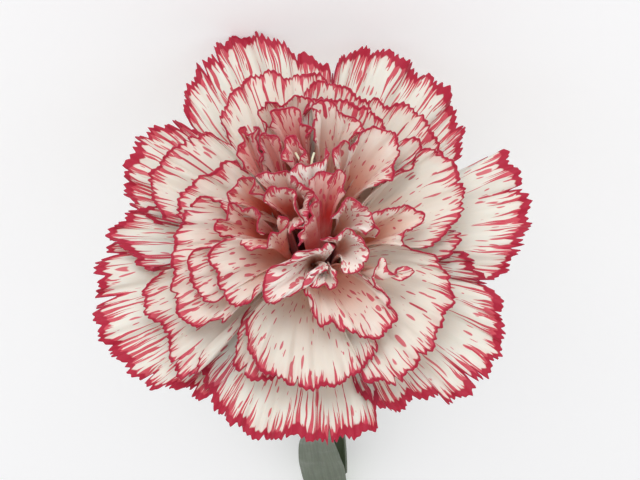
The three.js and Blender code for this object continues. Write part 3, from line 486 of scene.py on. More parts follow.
class Nodes:
    """A small maker of shader nodes, so that a finish reads as its formula."""

    def __init__(self, name: str) -> None:
        """Starts an empty material with a Principled shader."""
        self.material = bpy.data.materials.new(name)
        self.material.use_nodes = True
        self.tree = self.material.node_tree
        self.shader = next(node for node in self.tree.nodes if node.type == "BSDF_PRINCIPLED")

    def join(self, value: object, socket: bpy.types.NodeSocket) -> None:
        """Links a socket to another, or sets a plain value on it."""
        if isinstance(value, bpy.types.NodeSocket):
            self.tree.links.new(value, socket)
        else:
            socket.default_value = value

    def node(self, kind: str, inputs: dict[object, object], **settings: str) -> bpy.types.Node:
        """Adds a node, with its settings first and then its inputs.

        Args:
            kind: The node's type, without its prefix.
            inputs: Values or sockets for its inputs.
            settings: Its own settings, which are set before its inputs.

        Returns:
            The node.
        """
        node = self.tree.nodes.new(f"ShaderNode{kind}")
        for name, value in settings.items():
            setattr(node, name, value)
        for socket, value in inputs.items():
            self.join(value, node.inputs[socket])
        return node

    def fact(self, name: str) -> bpy.types.NodeSocket:
        """A number kept on the mesh."""
        return self.node("Attribute", {}, attribute_name=name).outputs["Fac"]

    def place(self) -> bpy.types.NodeSocket:
        """The point on the object, in metres."""
        return self.node("TexCoord", {}).outputs["Object"]

    def math(self, kind: str, first: object, second: object, third: object = 0.0) -> bpy.types.NodeSocket:
        """One sum on numbers."""
        return self.node("Math", {0: first, 1: second, 2: third}, operation=kind).outputs[0]

    def times(self, first: object, second: object) -> bpy.types.NodeSocket:
        """One number times another."""
        return self.math("MULTIPLY", first, second)

    def vector(self, x: object, y: object, z: object = 0.0) -> bpy.types.NodeSocket:
        """A vector from three numbers."""
        return self.node("CombineXYZ", {"X": x, "Y": y, "Z": z}).outputs[0]

    def noise(self, where: object, scale: float, detail: float, rough: float = 0.5) -> bpy.types.NodeSocket:
        """Smooth noise between 0 and 1."""
        return self.node("TexNoise", {"Vector": where, "Scale": scale, "Detail": detail,
                                      "Roughness": rough}).outputs["Fac"]

    def cells(self, along: object, inward: object | None = None) -> tuple[bpy.types.NodeSocket, ...]:
        """Scattered points on a line, or on a plane where `inward` is given.

        Args:
            along: The first coordinate, with about one point to each unit.
            inward: The second coordinate.

        Returns:
            The distance to the nearest point, and a number between 0 and 1 drawn for that point.
        """
        if inward is None:
            points = self.node("TexVoronoi", {"Scale": 1.0, "W": along}, voronoi_dimensions="1D")
        else:
            points = self.node("TexVoronoi", {"Scale": 1.0, "Vector": self.vector(along, inward)},
                               voronoi_dimensions="2D")
        drawn = self.node("SeparateColor", {"Color": points.outputs["Color"]})
        return points.outputs["Distance"], drawn.outputs["Red"]

    def step(self, value: object, low: object, high: object, start: float = 0.0,
             stop: float = 1.0) -> bpy.types.NodeSocket:
        """A soft step of a number from start at low to stop at high."""
        return self.node("MapRange", {"Value": value, "From Min": low, "From Max": high, "To Min": start,
                                      "To Max": stop}, interpolation_type="SMOOTHSTEP").outputs["Result"]

    def mix(self, share: object, first: object, second: object) -> bpy.types.NodeSocket:
        """A blend of two colours."""
        blend = self.node("Mix", {"Factor": share, "A": first, "B": second}, data_type="RGBA")
        return blend.outputs["Result"]

    def dress(self, values: dict[str, object]) -> None:
        """Gives the shader's own sockets their values."""
        for socket, value in values.items():
            self.join(value, self.shader.inputs[socket])

    def relief(self, height: object, depth: float) -> None:
        """Gives the surface a fine relief, `depth` mm deep."""
        bump = self.node("Bump", {"Strength": RELIEF_STRENGTH, "Distance": depth * MM, "Height": height})
        self.dress({"Normal": bump.outputs["Normal"]})


def srgb(red: int, green: int, blue: int) -> Colour:
    """A colour from the usual 0 to 255 values."""
    linear = [((value / 255.0 + 0.055) / 1.055) ** 2.4 for value in (red, green, blue)]
    return (linear[0], linear[1], linear[2], 1.0)


@dataclass(frozen=True)
class PetalFinish:
    """A picotee petal: a cream ground, a crimson rim with a comb of fine hairs, crimson dashes, and a tint
    deep in the bloom that is partly the petals' own flush and partly painted shade.
    """

    name: str
    ground: Colour
    # the depth tint: partly the petals' own flush, partly painted warm shade in the bloom's hollows
    depth: Colour
    # claw: the tint at the petal's foot; the pale claws of the outer rings are their own colour, the redder
    # claws toward the heart are partly painted shade of the bloom's deep centre
    claw: Colour
    rim: Colour = srgb(160, 20, 52)
    hair: Colour = srgb(190, 36, 70)
    dash: Colour = srgb(200, 56, 84)
    rim_width: float = 0.35
    fringe: float = 1.6          # mm that the dense hairs run in from the rim, at most
    lash: float = 4.5            # mm that the sparse long hairs run in, at most
    streak: float = 0.0          # how far long thin streaks show
    dashed: float = 1.0          # how large the loose dashes are
    fine: float = 2.0            # dense hairs to a millimetre
    # the heights at which the depth tint, flush and painted shade, starts and is full
    depth_start: float = 0.8
    depth_stop: float = 0.2
    glow: float = 0.3

    def material(self) -> bpy.types.Material:
        """Builds the finish.

        Returns:
            The petal's material. It reads `along`, mm along the rim, `inward`, mm from the toothed rim,
            `height`, 0 at the calyx mouth and 1 at the rim, and `bold`, over 0 inside a bold stripe.
        """
        nodes = Nodes(self.name)
        along, inward, height = (nodes.fact(name) for name in ("along", "inward", "height"))
        wander = nodes.noise(nodes.vector(nodes.times(along, 0.4), nodes.times(inward, 0.25), 3.3), 1.0, 1.0)
        track = nodes.math("MULTIPLY_ADD", wander, 1.6, along)
        patch = nodes.noise(nodes.vector(nodes.times(along, 0.22), 0.0, 6.1), 1.0, 1.0)
        lush = nodes.step(patch, 0.3, 0.7, 0.55, 1.35)
        # the crimson rim and its comb
        edge = nodes.times(lush, self.rim_width)
        rim = nodes.step(nodes.math("SUBTRACT", edge, inward), -0.16, 0.1)
        fringe = nodes.times(lush, self.fringe)
        fine = self.hairs(nodes, track, inward, self.fine, fringe, 0.66, 1.3)
        long = self.hairs(nodes, track, inward, 0.9, nodes.times(lush, self.lash), 0.34, 1.9)
        comb = nodes.math("MAXIMUM", fine, long)
        # loose dashes, none near the claw
        open_ground = nodes.times(nodes.step(height, 0.3, 0.62), self.dashed)
        dashes = nodes.math("MAXIMUM", self.dashes(nodes, track, inward, (1.0, 3.4), 0.23, 0.3, open_ground),
                            self.dashes(nodes, track, inward, (2.3, 6.8), 0.17, 0.35, open_ground))
        if self.streak:
            stretch = nodes.times(nodes.step(height, 0.1, 0.7), self.streak)
            dashes = nodes.math("MAXIMUM", dashes,
                                self.dashes(nodes, track, inward, (1.15, 13.0), 0.2, 0.25, stretch))
        bold = nodes.step(nodes.fact("bold"), 0.0, 0.3)
        # grounds, which take the depth tint deep in the bloom: partly the petals' own flush, partly painted
        # warm shade of the bloom's hollows
        clouds = nodes.noise(nodes.place(), 130.0, 3.0)
        flush_and_painted_shade = nodes.times(nodes.step(height, self.depth_start, self.depth_stop),
                          nodes.step(clouds, 0.1, 0.7, 0.55))
        colour = nodes.mix(flush_and_painted_shade, self.ground, self.depth)
        # the claw tint at the petal's foot, toward the heart partly painted shade of the deep centre
        colour = nodes.mix(nodes.step(height, 0.26, 0.0), colour, self.claw)
        blush = nodes.times(nodes.step(inward, 2.6, 0.2, 0.0, 0.22), lush)
        colour = nodes.mix(blush, colour, self.hair)
        colour = nodes.mix(nodes.times(dashes, 0.85), colour, self.dash)
        colour = nodes.mix(nodes.times(comb, 0.92), colour, self.hair)
        colour = nodes.mix(nodes.times(bold, 0.95), colour, self.hair)
        colour = nodes.mix(rim, colour, self.rim)
        nodes.dress({"Base Color": colour, "Roughness": nodes.step(clouds, 0.2, 0.8, 0.5, 0.66),
                     "Subsurface Weight": self.glow, "Subsurface Radius": (1.0, 0.5, 0.4),
                     "Subsurface Scale": 0.002, "Sheen Weight": 0.15, "Sheen Roughness": 0.5,
                     "Specular IOR Level": 0.3})
        # fine radial veins and the crinkle of thin tissue
        veins = nodes.noise(nodes.vector(nodes.times(along, 2.6), nodes.times(inward, 0.12), 5.5), 1.0, 2.0)
        crinkle = nodes.noise(nodes.place(), 900.0, 2.0)
        nodes.relief(nodes.math("MULTIPLY_ADD", crinkle, 0.5, veins), 0.14)
        return nodes.material

    @staticmethod
    def hairs(nodes: Nodes, track: object, inward: object, count: float, length: object, breadth: float,
              thinning: float) -> bpy.types.NodeSocket:
        """Pointed hairs that run in from the rim, `count` to a millimetre and at most `length` mm long.

        Args:
            nodes: The finish's nodes.
            track: Place along the rim, in mm.
            inward: Distance in from the rim, in mm.
            count: Hairs to a millimetre.
            length: Length of the longest hair, in mm.
            breadth: A hair's half width at the rim, in pitches.
            thinning: How much rarer long hairs are than short ones.

        Returns:
            1 on a hair and 0 beside it.
        """
        away, drawn = nodes.cells(nodes.times(track, count))
        reach = nodes.times(nodes.math("POWER", drawn, thinning), length)
        taper = nodes.math("MULTIPLY_ADD", away, -1.0 / breadth, 1.0)
        inside = nodes.math("SUBTRACT", nodes.times(reach, taper), inward)
        return nodes.step(inside, -0.05, 0.2)

    @staticmethod
    def dashes(nodes: Nodes, track: object, inward: object, pitch: tuple[float, float], size: float,
               rarity: float, share: object) -> bpy.types.NodeSocket:
        """Dashes along the petal, at most one in each cell of a pitch in mm, `size` of the pitch at most.

        Args:
            nodes: The finish's nodes.
            track: Place along the rim, in mm.
            inward: Distance in from the rim, in mm.
            pitch: Width and length of a cell, in mm.
            size: Size of the largest dash, as a share of its cell.
            rarity: Share of the cells that stay empty.
            share: How large the dashes are here, from 0 up.

        Returns:
            1 on a dash and 0 beside it.
        """
        away, drawn = nodes.cells(nodes.math("MULTIPLY_ADD", track, 1.0 / pitch[0], pitch[1]),
                                  nodes.times(inward, 1.0 / pitch[1]))
        radius = nodes.times(nodes.math("SUBTRACT", drawn, rarity), size / (1.0 - rarity))
        radius = nodes.times(radius, share)
        return nodes.step(nodes.math("SUBTRACT", radius, away), -0.01, 0.035)


@dataclass(frozen=True)
class GreenFinish:
    """A waxy green skin with lengthwise veins, and a pale papery edge where the mesh has one."""

    name: str
    light: Colour
    dark: Colour
    bloom: Colour
    vein_count: float = 9.0
    papery: bool = False

    def material(self) -> bpy.types.Material:
        """Builds the finish.

        Returns:
            The material. It reads `across`, the place across the piece from 0 to 1, `up`, mm along it,
            and for a papery edge `inward`, mm from its free edge.
        """
        nodes = Nodes(self.name)
        across, up = nodes.fact("across"), nodes.fact("up")
        veins = nodes.noise(nodes.vector(nodes.times(across, self.vein_count), nodes.times(up, 0.02)),
                            3.0, 3.0, 0.6)
        mottle = nodes.noise(nodes.place(), 220.0, 4.0, 0.6)
        colour = nodes.mix(nodes.step(veins, 0.36, 0.64), self.dark, self.light)
        wax = nodes.step(mottle, 0.35, 0.75, 0.0, 0.65)
        colour = nodes.mix(wax, colour, self.bloom)
        if self.papery:
            edge = nodes.step(nodes.fact("inward"), 1.1, 0.2)
            colour = nodes.mix(edge, colour, srgb(214, 205, 160))
        nodes.dress({"Base Color": colour, "Roughness": nodes.step(mottle, 0.3, 0.7, 0.42, 0.62),
                     "Specular IOR Level": 0.4, "Subsurface Weight": 0.05, "Subsurface Scale": 0.001})
        nodes.relief(nodes.math("MULTIPLY_ADD", mottle, 0.4, veins), 0.12)
        return nodes.material


# ------------------------------------------------------------------ petals
class RimLine:
    """A petal's rim: a centripetal curve through its chosen points, read by its length."""

    SAMPLES = 40

    def __init__(self, rim: Rim) -> None:
        """Draws the curve through the rim's points.

        Args:
            rim: The rim's chosen points.
        """
        points = lifted(rim.points)
        self.through = None if rim.through is None else lifted((rim.through,))[0]
        padded = np.vstack((2 * points[0] - points[1], points, 2 * points[-1] - points[-2]))
        steps = np.sqrt(np.linalg.norm(np.diff(padded, axis=0), axis=1))
        drawn = [self._stretch(padded[index:index + 4], steps[index:index + 3])
                 for index in range(len(points) - 1)]
        self.points = np.vstack(drawn + [points[-1:]])
        self.runs = np.concatenate(([0.0], np.cumsum(np.linalg.norm(np.diff(self.points, axis=0), axis=1))))
        self.length = float(self.runs[-1])

    def _stretch(self, four: np.ndarray, steps: np.ndarray) -> np.ndarray:
        """The points from the second to the third of four neighbours.

        Args:
            four: Four points in a row.
            steps: The knot steps between them.

        Returns:
            Points from the second to just before the third.
        """
        first, second, third = steps
        start = ((four[1] - four[0]) / first - (four[2] - four[0]) / (first + second)
                 + (four[2] - four[1]) / second) * second
        stop = ((four[2] - four[1]) / second - (four[3] - four[1]) / (second + third)
                + (four[3] - four[2]) / third) * second
        share = np.linspace(0.0, 1.0, self.SAMPLES, endpoint=False)[:, None]
        return (four[1] + start * share
                + (3 * (four[2] - four[1]) - 2 * start - stop) * share ** 2
                + (2 * (four[1] - four[2]) + start + stop) * share ** 3)

    def at(self, lengths: np.ndarray) -> np.ndarray:
        """The rim's points at lengths in mm from its start."""
        return np.stack([np.interp(lengths, self.runs, self.points[:, axis]) for axis in range(3)], axis=-1)

    def middle(self) -> np.ndarray:
        """The middle of the rim, seen from the throat."""
        return self.at(np.array([self.length / 2]))[0] - THROAT

    def angle(self) -> float:
        """The angle round the flower's axis at which the middle of the rim lies."""
        middle = self.middle()
        return math.atan2(float(middle @ UPWARD), float(middle @ ACROSS))


@dataclass
class Ruffle:
    """How a ring's petals are frilled: heights and wavelengths in mm."""

    cup: float
    fold: float
    fold_length: float
    frill: float
    frill_length: float
    crimp: float = 0.3
    crimp_length: float = 2.2
    curl: float = 0.8
    scallop: float = 0.3
    scallop_length: float = 4.5
    tooth_width: tuple[float, float] = (0.6, 1.4)
    tooth_depth: tuple[float, float] = (0.15, 0.6)
    slit_share: float = 0.05
    slit_depth: tuple[float, float] = (0.8, 1.6)


@dataclass
class Petal:
    """One petal: a strap-like claw in the calyx and a fan-shaped limb with a frilled, toothed rim."""

    name: str
    rim: RimLine
    claw_angle: float
    ring_radius: float
    rise: float
    ruffle: Ruffle
    seed: int
    stripes: tuple[Stripe, ...] = ()
    thickness: float = 0.24
    column_width: float = 0.2
    claw_rows: int = 6

    def build(self, face: FaceFrame) -> bpy.types.Object:
        """Builds the petal.

        Args:
            face: Where the bloom is.

        Returns:
            The petal, with `along`, `inward`, `height` and `bold` on its points.
        """
        chance = np.random.RandomState(self.seed)
        count = int(np.clip(self.rim.length / self.column_width, 40, 340))
        columns = np.linspace(0.0, 1.0, count + 1)
        lengths = columns * self.rim.length
        limb_rows = int(np.clip(self.reach() * 0.9, 22, 36))
        claw = np.linspace(-1.0, 0.0, self.claw_rows, endpoint=False)
        limb = 1.0 - (1.0 - np.linspace(0.0, 1.0, limb_rows + 1)) ** ROWS_CROWDED
        rows = np.concatenate((claw, limb))
        teeth = self.teeth(chance, lengths)
        height = np.clip(rows, 0.0, 1.0)[:, None]
        base = self.base_surface(columns, height)
        spans = np.linalg.norm(np.diff(base, axis=0), axis=-1).sum(axis=0)
        trim = 1.0 - teeth / spans
        cut_rows = np.where(rows[:, None] > 0.0, rows[:, None] * trim[None, :], rows[:, None])
        surface = self.ruffled(chance, columns, cut_rows)
        for index, depth in enumerate(claw):
            surface[index] = self.claw_points(columns, float(depth))
        placed = face.place(surface)
        floor = self.thickness * MM * 0.75
        placed[..., 2] = np.maximum(placed[..., 2], floor)
        inward = (1.0 - height) * (spans - teeth)[None, :]
        facts = {
            "along": np.broadcast_to(lengths + 61.0 * (self.seed % 97), inward.shape),
            "inward": inward,
            "height": np.broadcast_to(height, inward.shape),
            "bold": self.bold(lengths, inward),
        }
        piece = sheet_object(self.name, placed, facts)
        thicken(piece, self.thickness)
        return piece

    def bold(self, lengths: np.ndarray, inward: np.ndarray) -> np.ndarray:
        """Where the petal's bold stripes are: over 0 inside a stripe and 1 on its middle line.

        Args:
            lengths: Place of each column along the rim, in mm.
            inward: Distance of each point in from the rim, in mm.

        Returns:
            A number for each point.
        """
        inside = np.full(inward.shape, -1.0)
        for stripe in self.stripes:
            away = np.abs(lengths - stripe.share * self.rim.length)[None, :]
            ends = np.minimum(inward - stripe.start, stripe.stop - inward)
            width = stripe.half_width * np.clip(ends / STRIPE_TAPER, 0.05, 1.0)
            inside = np.maximum(inside, np.where(ends > 0.0, 1.0 - away / width, -1.0))
        return inside

    def reach(self) -> float:
        """How far the middle of the rim is from the crest where the petal turns outwards, in mm."""
        return float(np.linalg.norm(self.rim.middle() - AXIS * self.rise))

    def base_surface(self, columns: np.ndarray, rows: np.ndarray) -> np.ndarray:
        """The smooth limb, before ruffles, at every row and column.

        Args:
            columns: Places across the petal, 0 to 1.
            rows: Heights from the calyx mouth, 0, to the rim, 1, in a column or a table.

        Returns:
            Points in mm, rows by columns.
        """
        share = rows[..., None]
        end = self.rim.at(columns * self.rim.length)
        middle = self.rim.middle()
        outward = unit(middle - AXIS * (middle @ AXIS))
        ray = end - (THROAT + AXIS * self.rise)
        reach = np.linalg.norm(ray, axis=-1, keepdims=True) * LIMB_REACH
        ray = unit(unit(ray) + LIMB_FLARE * outward)
        foot = self.claw_points(columns, 0.0)
        climb = foot + AXIS * self.rise * LIMB_CLIMB
        turn = end - ray * reach
        if self.rim.through is not None:
            climb = climb + (self.rim.through - climb) * ROSETTE_PULL
            turn = self.rim.through + (end - self.rim.through) * ROSETTE_SPREAD
        return (foot * (1 - share) ** 3 + climb * 3 * share * (1 - share) ** 2
                + turn * 3 * share ** 2 * (1 - share) + end * share ** 3)

    def claw_points(self, columns: np.ndarray, depth: float) -> np.ndarray:
        """Points across the claw at a depth from the calyx mouth, 0, to its foot, -1.

        Args:
            columns: Places across the petal, 0 to 1.
            depth: Depth from the mouth, 0, to the foot, -1.

        Returns:
            A point for each column, in mm.
        """
        tangent = -math.sin(self.claw_angle) * ACROSS + math.cos(self.claw_angle) * UPWARD
        ends = self.rim.at(np.array([0.0, self.rim.length]))
        side = 1.0 if float((ends[0] - ends[1]) @ tangent) >= 0 else -1.0
        narrow = 1.0 + depth * (1.0 - CLAW_FOOT_SCALE)
        spread = 1.0 + CLAW_SPREAD * float(smooth(np.array(depth), -0.2, 0.0))
        middle = on_axis(np.array(depth * CLAW_LENGTH), np.array(self.ring_radius * narrow),
                         np.array(self.claw_angle))
        return middle + (side * (0.5 - columns) * CLAW_WIDTH * narrow * spread)[:, None] * tangent

    def ruffled(self, chance: np.random.RandomState, columns: np.ndarray, rows: np.ndarray) -> np.ndarray:
        """The limb with its folds, frills and crimps.

        Args:
            chance: Where the random draws come from.
            columns: Places across the petal, 0 to 1.
            rows: Heights from the mouth, 0, to the rim, 1, for each row and column.

        Returns:
            Points in mm, rows by columns.
        """
        height = np.clip(rows, 0.0, 1.2)
        base = self.base_surface(columns, height)
        across = np.gradient(base, axis=1)
        upwards = np.gradient(base, axis=0)
        normal = unit(np.cross(across, upwards))
        lengths = (columns * self.rim.length)[None, :]
        style, size = self.ruffle, self.rim.length
        fold_length = min(style.fold_length, size / 1.6)
        fold = Wave(chance, fold_length, size)(lengths) * style.fold * smooth(height, 0.3, 1.0)
        frill_length = min(style.frill_length, size / 3.0)
        drift = (1.0 - height) * 1.5
        frill = Wave(chance, frill_length, size)(lengths + drift) * style.frill * smooth(height, 0.5, 1.0)
        crimp = Wave(chance, style.crimp_length, size)(lengths) * style.crimp * smooth(height, 0.78, 1.0)
        roll = smooth(height, 0.86, 1.02) ** 2
        curl = Wave(chance, style.fold_length * 0.8, size)(lengths) * style.curl * roll
        sway = Wave(chance, frill_length * 0.9, size)(lengths) * 0.35 * style.frill * smooth(height, 0.6, 1.0)
        facing = math.copysign(1.0, float((normal @ AXIS).mean()))
        sag = -facing * style.cup * np.sin(math.pi * columns)[None, :] * np.sin(math.pi * height)
        return base + normal * (sag + fold + frill + crimp + curl)[..., None] + unit(across) * sway[..., None]

    def teeth(self, chance: np.random.RandomState, lengths: np.ndarray) -> np.ndarray:
        """How much each column falls short of the rim, in mm, between the tips of the teeth.

        Args:
            chance: Where the random draws come from.
            lengths: Place of each column along the rim, in mm.

        Returns:
            A depth in mm for each column.
        """
        style = self.ruffle
        places, depths = [0.0], [chance.uniform(0.2, 0.8)]
        while places[-1] < self.rim.length:
            width = chance.uniform(*style.tooth_width)
            depth = chance.uniform(*style.tooth_depth)
            if chance.uniform() < style.slit_share:
                depth = chance.uniform(*style.slit_depth)
            places += [places[-1] + width * chance.uniform(0.4, 0.6), places[-1] + width]
            depths += [depth, chance.uniform(0.0, 0.15)]
        shape = np.interp(lengths, places, depths)
        scallop = Wave(chance, style.scallop_length, self.rim.length)(lengths) * style.scallop
        corner = np.minimum(lengths, self.rim.length - lengths)
        return shape + scallop + style.scallop - OUT_PAST_RIM + ROUNDED_CORNER * np.exp(-corner)


RUFFLES = {
    Ring.HEART: Ruffle(0.6, 0.9, 4.5, 0.4, 2.6, crimp=0.12, crimp_length=1.5, curl=0.4, scallop=0.15,
                       tooth_depth=(0.1, 0.35)),
    Ring.INNER: Ruffle(1.2, 1.0, 5.5, 0.45, 3.0, crimp=0.14, crimp_length=1.7, curl=0.5, scallop=0.2,
                       tooth_depth=(0.1, 0.4)),
    Ring.MIDDLE: Ruffle(1.3, 0.7, 7.5, 0.45, 3.8, crimp=0.16, crimp_length=1.9, curl=0.6),
    Ring.OUTER: Ruffle(0.8, 0.6, 10.0, 0.45, 4.4, crimp=0.2, crimp_length=2.0, curl=0.6),
    Ring.GUARD: Ruffle(0.0, 0.7, 12.0, 0.45, 5.0, crimp=0.25, crimp_length=2.2, curl=0.6, scallop=0.4,
                       tooth_depth=(0.2, 0.9), slit_share=0.08, slit_depth=(1.2, 2.6)),
}


@dataclass
class Bloom:
    """All petals, ring by ring, each with its claw evenly spaced on its ring's circle."""

    face: FaceFrame
    finishes: dict[Ring, bpy.types.Material]
    crumpled: bpy.types.Material

    def build(self) -> list[bpy.types.Object]:
        """Builds and dresses every petal.

        Returns:
            The petals, from the heart outwards.
        """
        made = []
        pitch = (OUTER_RING_RADIUS - HEART_RING_RADIUS) / (len(Ring) - 1)
        for place, ring in enumerate(Ring):
            rims = [RimLine(rim) for rim in PETAL_RIMS[ring]]
            for index, (rim, angle) in enumerate(zip(rims, self.claw_angles(rims))):
                name = f"petal_{ring.value}_{index + 1}"
                petal = Petal(f"fine_{name}", rim, angle, HEART_RING_RADIUS + place * pitch,
                              RING_RISE[ring], RUFFLES[ring], seed=101 * (place + 1) + index,
                              stripes=STRIPES.get((ring, index + 1), ()))
                piece = petal.build(self.face)
                pale = (ring, index + 1) in CRUMPLED
                stand_for(piece, name, self.crumpled if pale else self.finishes[ring])
                made.append(piece)
                log.info("petal %s: rim %.1f mm, %d faces", name, rim.length, len(piece.data.polygons))
        return made

    @staticmethod
    def claw_angles(rims: Sequence[RimLine]) -> list[float]:
        """Angles of a ring's claws: evenly spaced, in the order of their petals.

        Args:
            rims: The rims of the ring's petals.

        Returns:
            An angle round the axis for each petal.
        """
        angles = [rim.angle() for rim in rims]
        order = sorted(range(len(rims)), key=lambda index: angles[index])
        pitch = 2 * math.pi / len(rims)
        turn = sum(angles[index] - place * pitch for place, index in enumerate(order)) / len(rims)
        claws = [0.0] * len(rims)
        for place, index in enumerate(order):
            claws[index] = turn + place * pitch
        return claws


# ------------------------------------------------------------------ calyx, bracts and what they hold
def calyx_radius(height: np.ndarray) -> np.ndarray:
    """The outer radius of the calyx at heights below its mouth, in mm.

    Args:
        height: Heights in mm, 0 at the mouth and negative below it.

    Returns:
        A radius in mm for each height.
    """
    foot, waist = -CALYX_LENGTH, -CALYX_LENGTH * 0.7
    low = CALYX_FOOT_RADIUS + (CALYX_WAIST_RADIUS - CALYX_FOOT_RADIUS) * np.sin(
        np.clip((height - foot) / (waist - foot), 0.0, 1.0) * math.pi / 2)
    share = np.clip((height - waist) / (0.0 - waist), 0.0, 1.0)
    high = CALYX_WAIST_RADIUS + (CALYX_MOUTH_RADIUS - CALYX_WAIST_RADIUS) * share
    return np.where(height < waist, low, high)


@dataclass
class Calyx(Green):
    """The ribbed green tube round the claws, closed at its foot, with five pointed teeth."""

    columns: int = 160
    rows: int = 60
    rib_count: int = 30
    rib_height: float = 0.1

    def build(self) -> bpy.types.Object:
        """Builds and dresses the calyx.

        Returns:
            The calyx.
        """
        turn, share = grid(self.columns, self.rows)
        tooth = np.abs(turn * CALYX_TEETH % 1.0 - 0.5) * 2.0
        top = TOOTH_TIP - TOOTH_LENGTH * tooth ** 1.25
        wall = np.clip((share - 0.06) / 0.94, 0.0, 1.0)
        height = -CALYX_LENGTH + (top + CALYX_LENGTH) * wall
        ribs = self.rib_height * np.sin(turn * 2 * math.pi * self.rib_count) * smooth(wall, 0.05, 0.3)
        radius = (calyx_radius(height) - CALYX_WALL / 2 + ribs) * np.clip(share / 0.06, 0.0, 1.0)
        radius = radius + 0.25 * smooth(height, -4.0, -0.8)
        radius[0] = 0.0
        points = on_axis(height, radius, turn * 2 * math.pi + math.pi / 2)
        facts = {"across": turn * 3.0, "up": height, "inward": top - height}
        return self.dressed("calyx", "calyx_green", points, facts, CALYX_WALL)


@dataclass
class Bracts(Green):
    """Two pairs of pointed scales that hug the foot of the calyx."""

    count: int = 4
    columns: int = 22
    rows: int = 26
    half_angle: float = 0.72

    def build(self) -> list[bpy.types.Object]:
        """Builds and dresses the bracts.

        Returns:
            The four bracts.
        """
        made = []
        u, v = grid(self.columns, self.rows)
        for index in range(self.count):
            lift = CLEARANCE + BRACT_THICKNESS / 2 + (index % 2) * (BRACT_THICKNESS + CLEARANCE)
            height = -CALYX_LENGTH + 1.0 + v * (BRACT_LENGTH - 1.0)
            half = self.half_angle * np.maximum(0.03, np.cos(v * math.pi / 2) ** 0.7)
            radius = calyx_radius(height) + lift + 0.25 * v ** 3
            angle = index * math.pi / 2 + math.pi / 4 + (u - 0.5) * 2 * half
            edge = (0.5 - np.abs(u - 0.5)) * 2 * half * radius
            facts = {"across": u, "up": height, "inward": edge}
            made.append(self.dressed(f"bract_{index + 1}", "calyx_green", on_axis(height, radius, angle),
                                     facts, BRACT_THICKNESS * FINE_SHARE))
        return made


@dataclass
class Pistil(Green):
    """What the petals surround: the receptacle, the ovary on it and two styles with curling tips."""

    cream: bpy.types.Material
    segments: int = 28
    style_rows: int = 30

    def build(self) -> list[bpy.types.Object]:
        """Builds and dresses the receptacle, the ovary and the styles.

        Returns:
            The four pieces.
        """
        top = -CLAW_LENGTH - CLEARANCE
        foot = -CALYX_LENGTH + 3.0 + CLEARANCE
        inner = calyx_radius(np.array([foot, top])) - CALYX_WALL - CLEARANCE
        waist = ((inner[0] + inner[1]) / 2, (foot + top) / 2)
        receptacle = [(0.0, foot), (inner[0] - CLEARANCE, foot), waist, (inner[1] - 0.15, top - 0.3),
                      (inner[1] - 0.5, top), (0.0, top)]
        base = top + CLEARANCE
        ovary = [(0.0, base)] + [
            (OVARY_RADIUS * math.sin(math.pi * (0.2 + 0.8 * share)) ** 0.6, base + share * OVARY_LENGTH)
            for share in np.linspace(0.0, 0.96, 12)] + [(0.0, base + OVARY_LENGTH)]
        root = base + OVARY_LENGTH + CLEARANCE
        return [self.turned("receptacle", receptacle), self.turned("ovary", ovary),
                self.style("style_1", math.pi, root), self.style("style_2", 0.0, root)]

    def turned(self, node: str, profile: Sequence[tuple[float, float]]) -> bpy.types.Object:
        """A turned piece on the flower's axis, from pairs of radius and height.

        Args:
            node: Name of the model node.
            profile: Pairs of radius and height, in mm, from foot to top.

        Returns:
            The piece.
        """
        turn = grid(self.segments, len(profile) - 1)[0]
        radius, height = (np.array(numbers)[:, None] + 0.0 * turn for numbers in zip(*profile))
        points = on_axis(height, radius, turn * 2 * math.pi)
        return self.dressed(node, "pith_green", points, {"across": turn, "up": height})

    def style(self, node: str, side: float, root: float) -> bpy.types.Object:
        """One style: a thread from a height above the calyx mouth that tapers to a curled tip.

        Args:
            node: Name of the model node.
            side: Angle round the axis at which it starts.
            root: Height of its foot above the calyx mouth, in mm.

        Returns:
            The style.
        """
        spacing = STYLE_DIAMETER + 2 * CLEARANCE
        lean = math.cos(side)
        low = on_axis(np.array((root, 2.0)), np.array((0.5, 0.7)) * spacing, np.array(side))
        high = lifted(((-0.3 + 0.5 * lean, 8.0, 14.0), (-1.0 + 0.5 * lean, 12.0, 15.6),
                       (-1.2 + 0.9 * lean, 13.8, 16.0), (-1.2 + 1.6 * lean, 13.9, 15.2)))
        route = np.vstack((low, high))
        runs = np.concatenate(([0.0], np.cumsum(np.linalg.norm(np.diff(route, axis=0), axis=1))))
        share = np.linspace(0.0, 1.0, self.style_rows)
        middle = np.stack([np.interp(share * runs[-1], runs, route[:, axis]) for axis in range(3)], axis=-1)
        for _ in range(6):
            middle[1:-1] = (middle[:-2] + 2 * middle[1:-1] + middle[2:]) / 4
        along = unit(np.gradient(middle, axis=0))
        first = unit(np.cross(along, ACROSS))
        second = np.cross(along, first)
        turn = grid(12, self.style_rows + 1)[0]
        angle = turn[..., None] * 2 * math.pi
        size = np.pad(STYLE_DIAMETER / 2 * (1.0 - 0.35 * share), 1)
        pick = np.pad(np.arange(self.style_rows), 1, mode="edge")
        ring = np.cos(angle) * first[pick][:, None, :] + np.sin(angle) * second[pick][:, None, :]
        points = middle[pick][:, None, :] + size[:, None, None] * ring
        up = np.pad(share, 1, mode="edge")[:, None] * runs[-1] + 0.0 * turn
        return self.dressed(node, "style_cream", points, {"across": turn, "up": up}, finish=self.cream)


# ------------------------------------------------------------------ stem and leaves
STEM_TOP = -CALYX_LENGTH - CLEARANCE
STEM_END = STEM_TOP - STEM_LENGTH
NODE_HEIGHT = STEM_END + NODE_DISTANCE


def stem_shift(height: np.ndarray) -> np.ndarray:
    """How far the stem's middle lies to the side at heights, in mm."""
    share = np.clip((STEM_TOP - height) / STEM_LENGTH, 0.0, None)
    return STEM_BOW * share ** 2


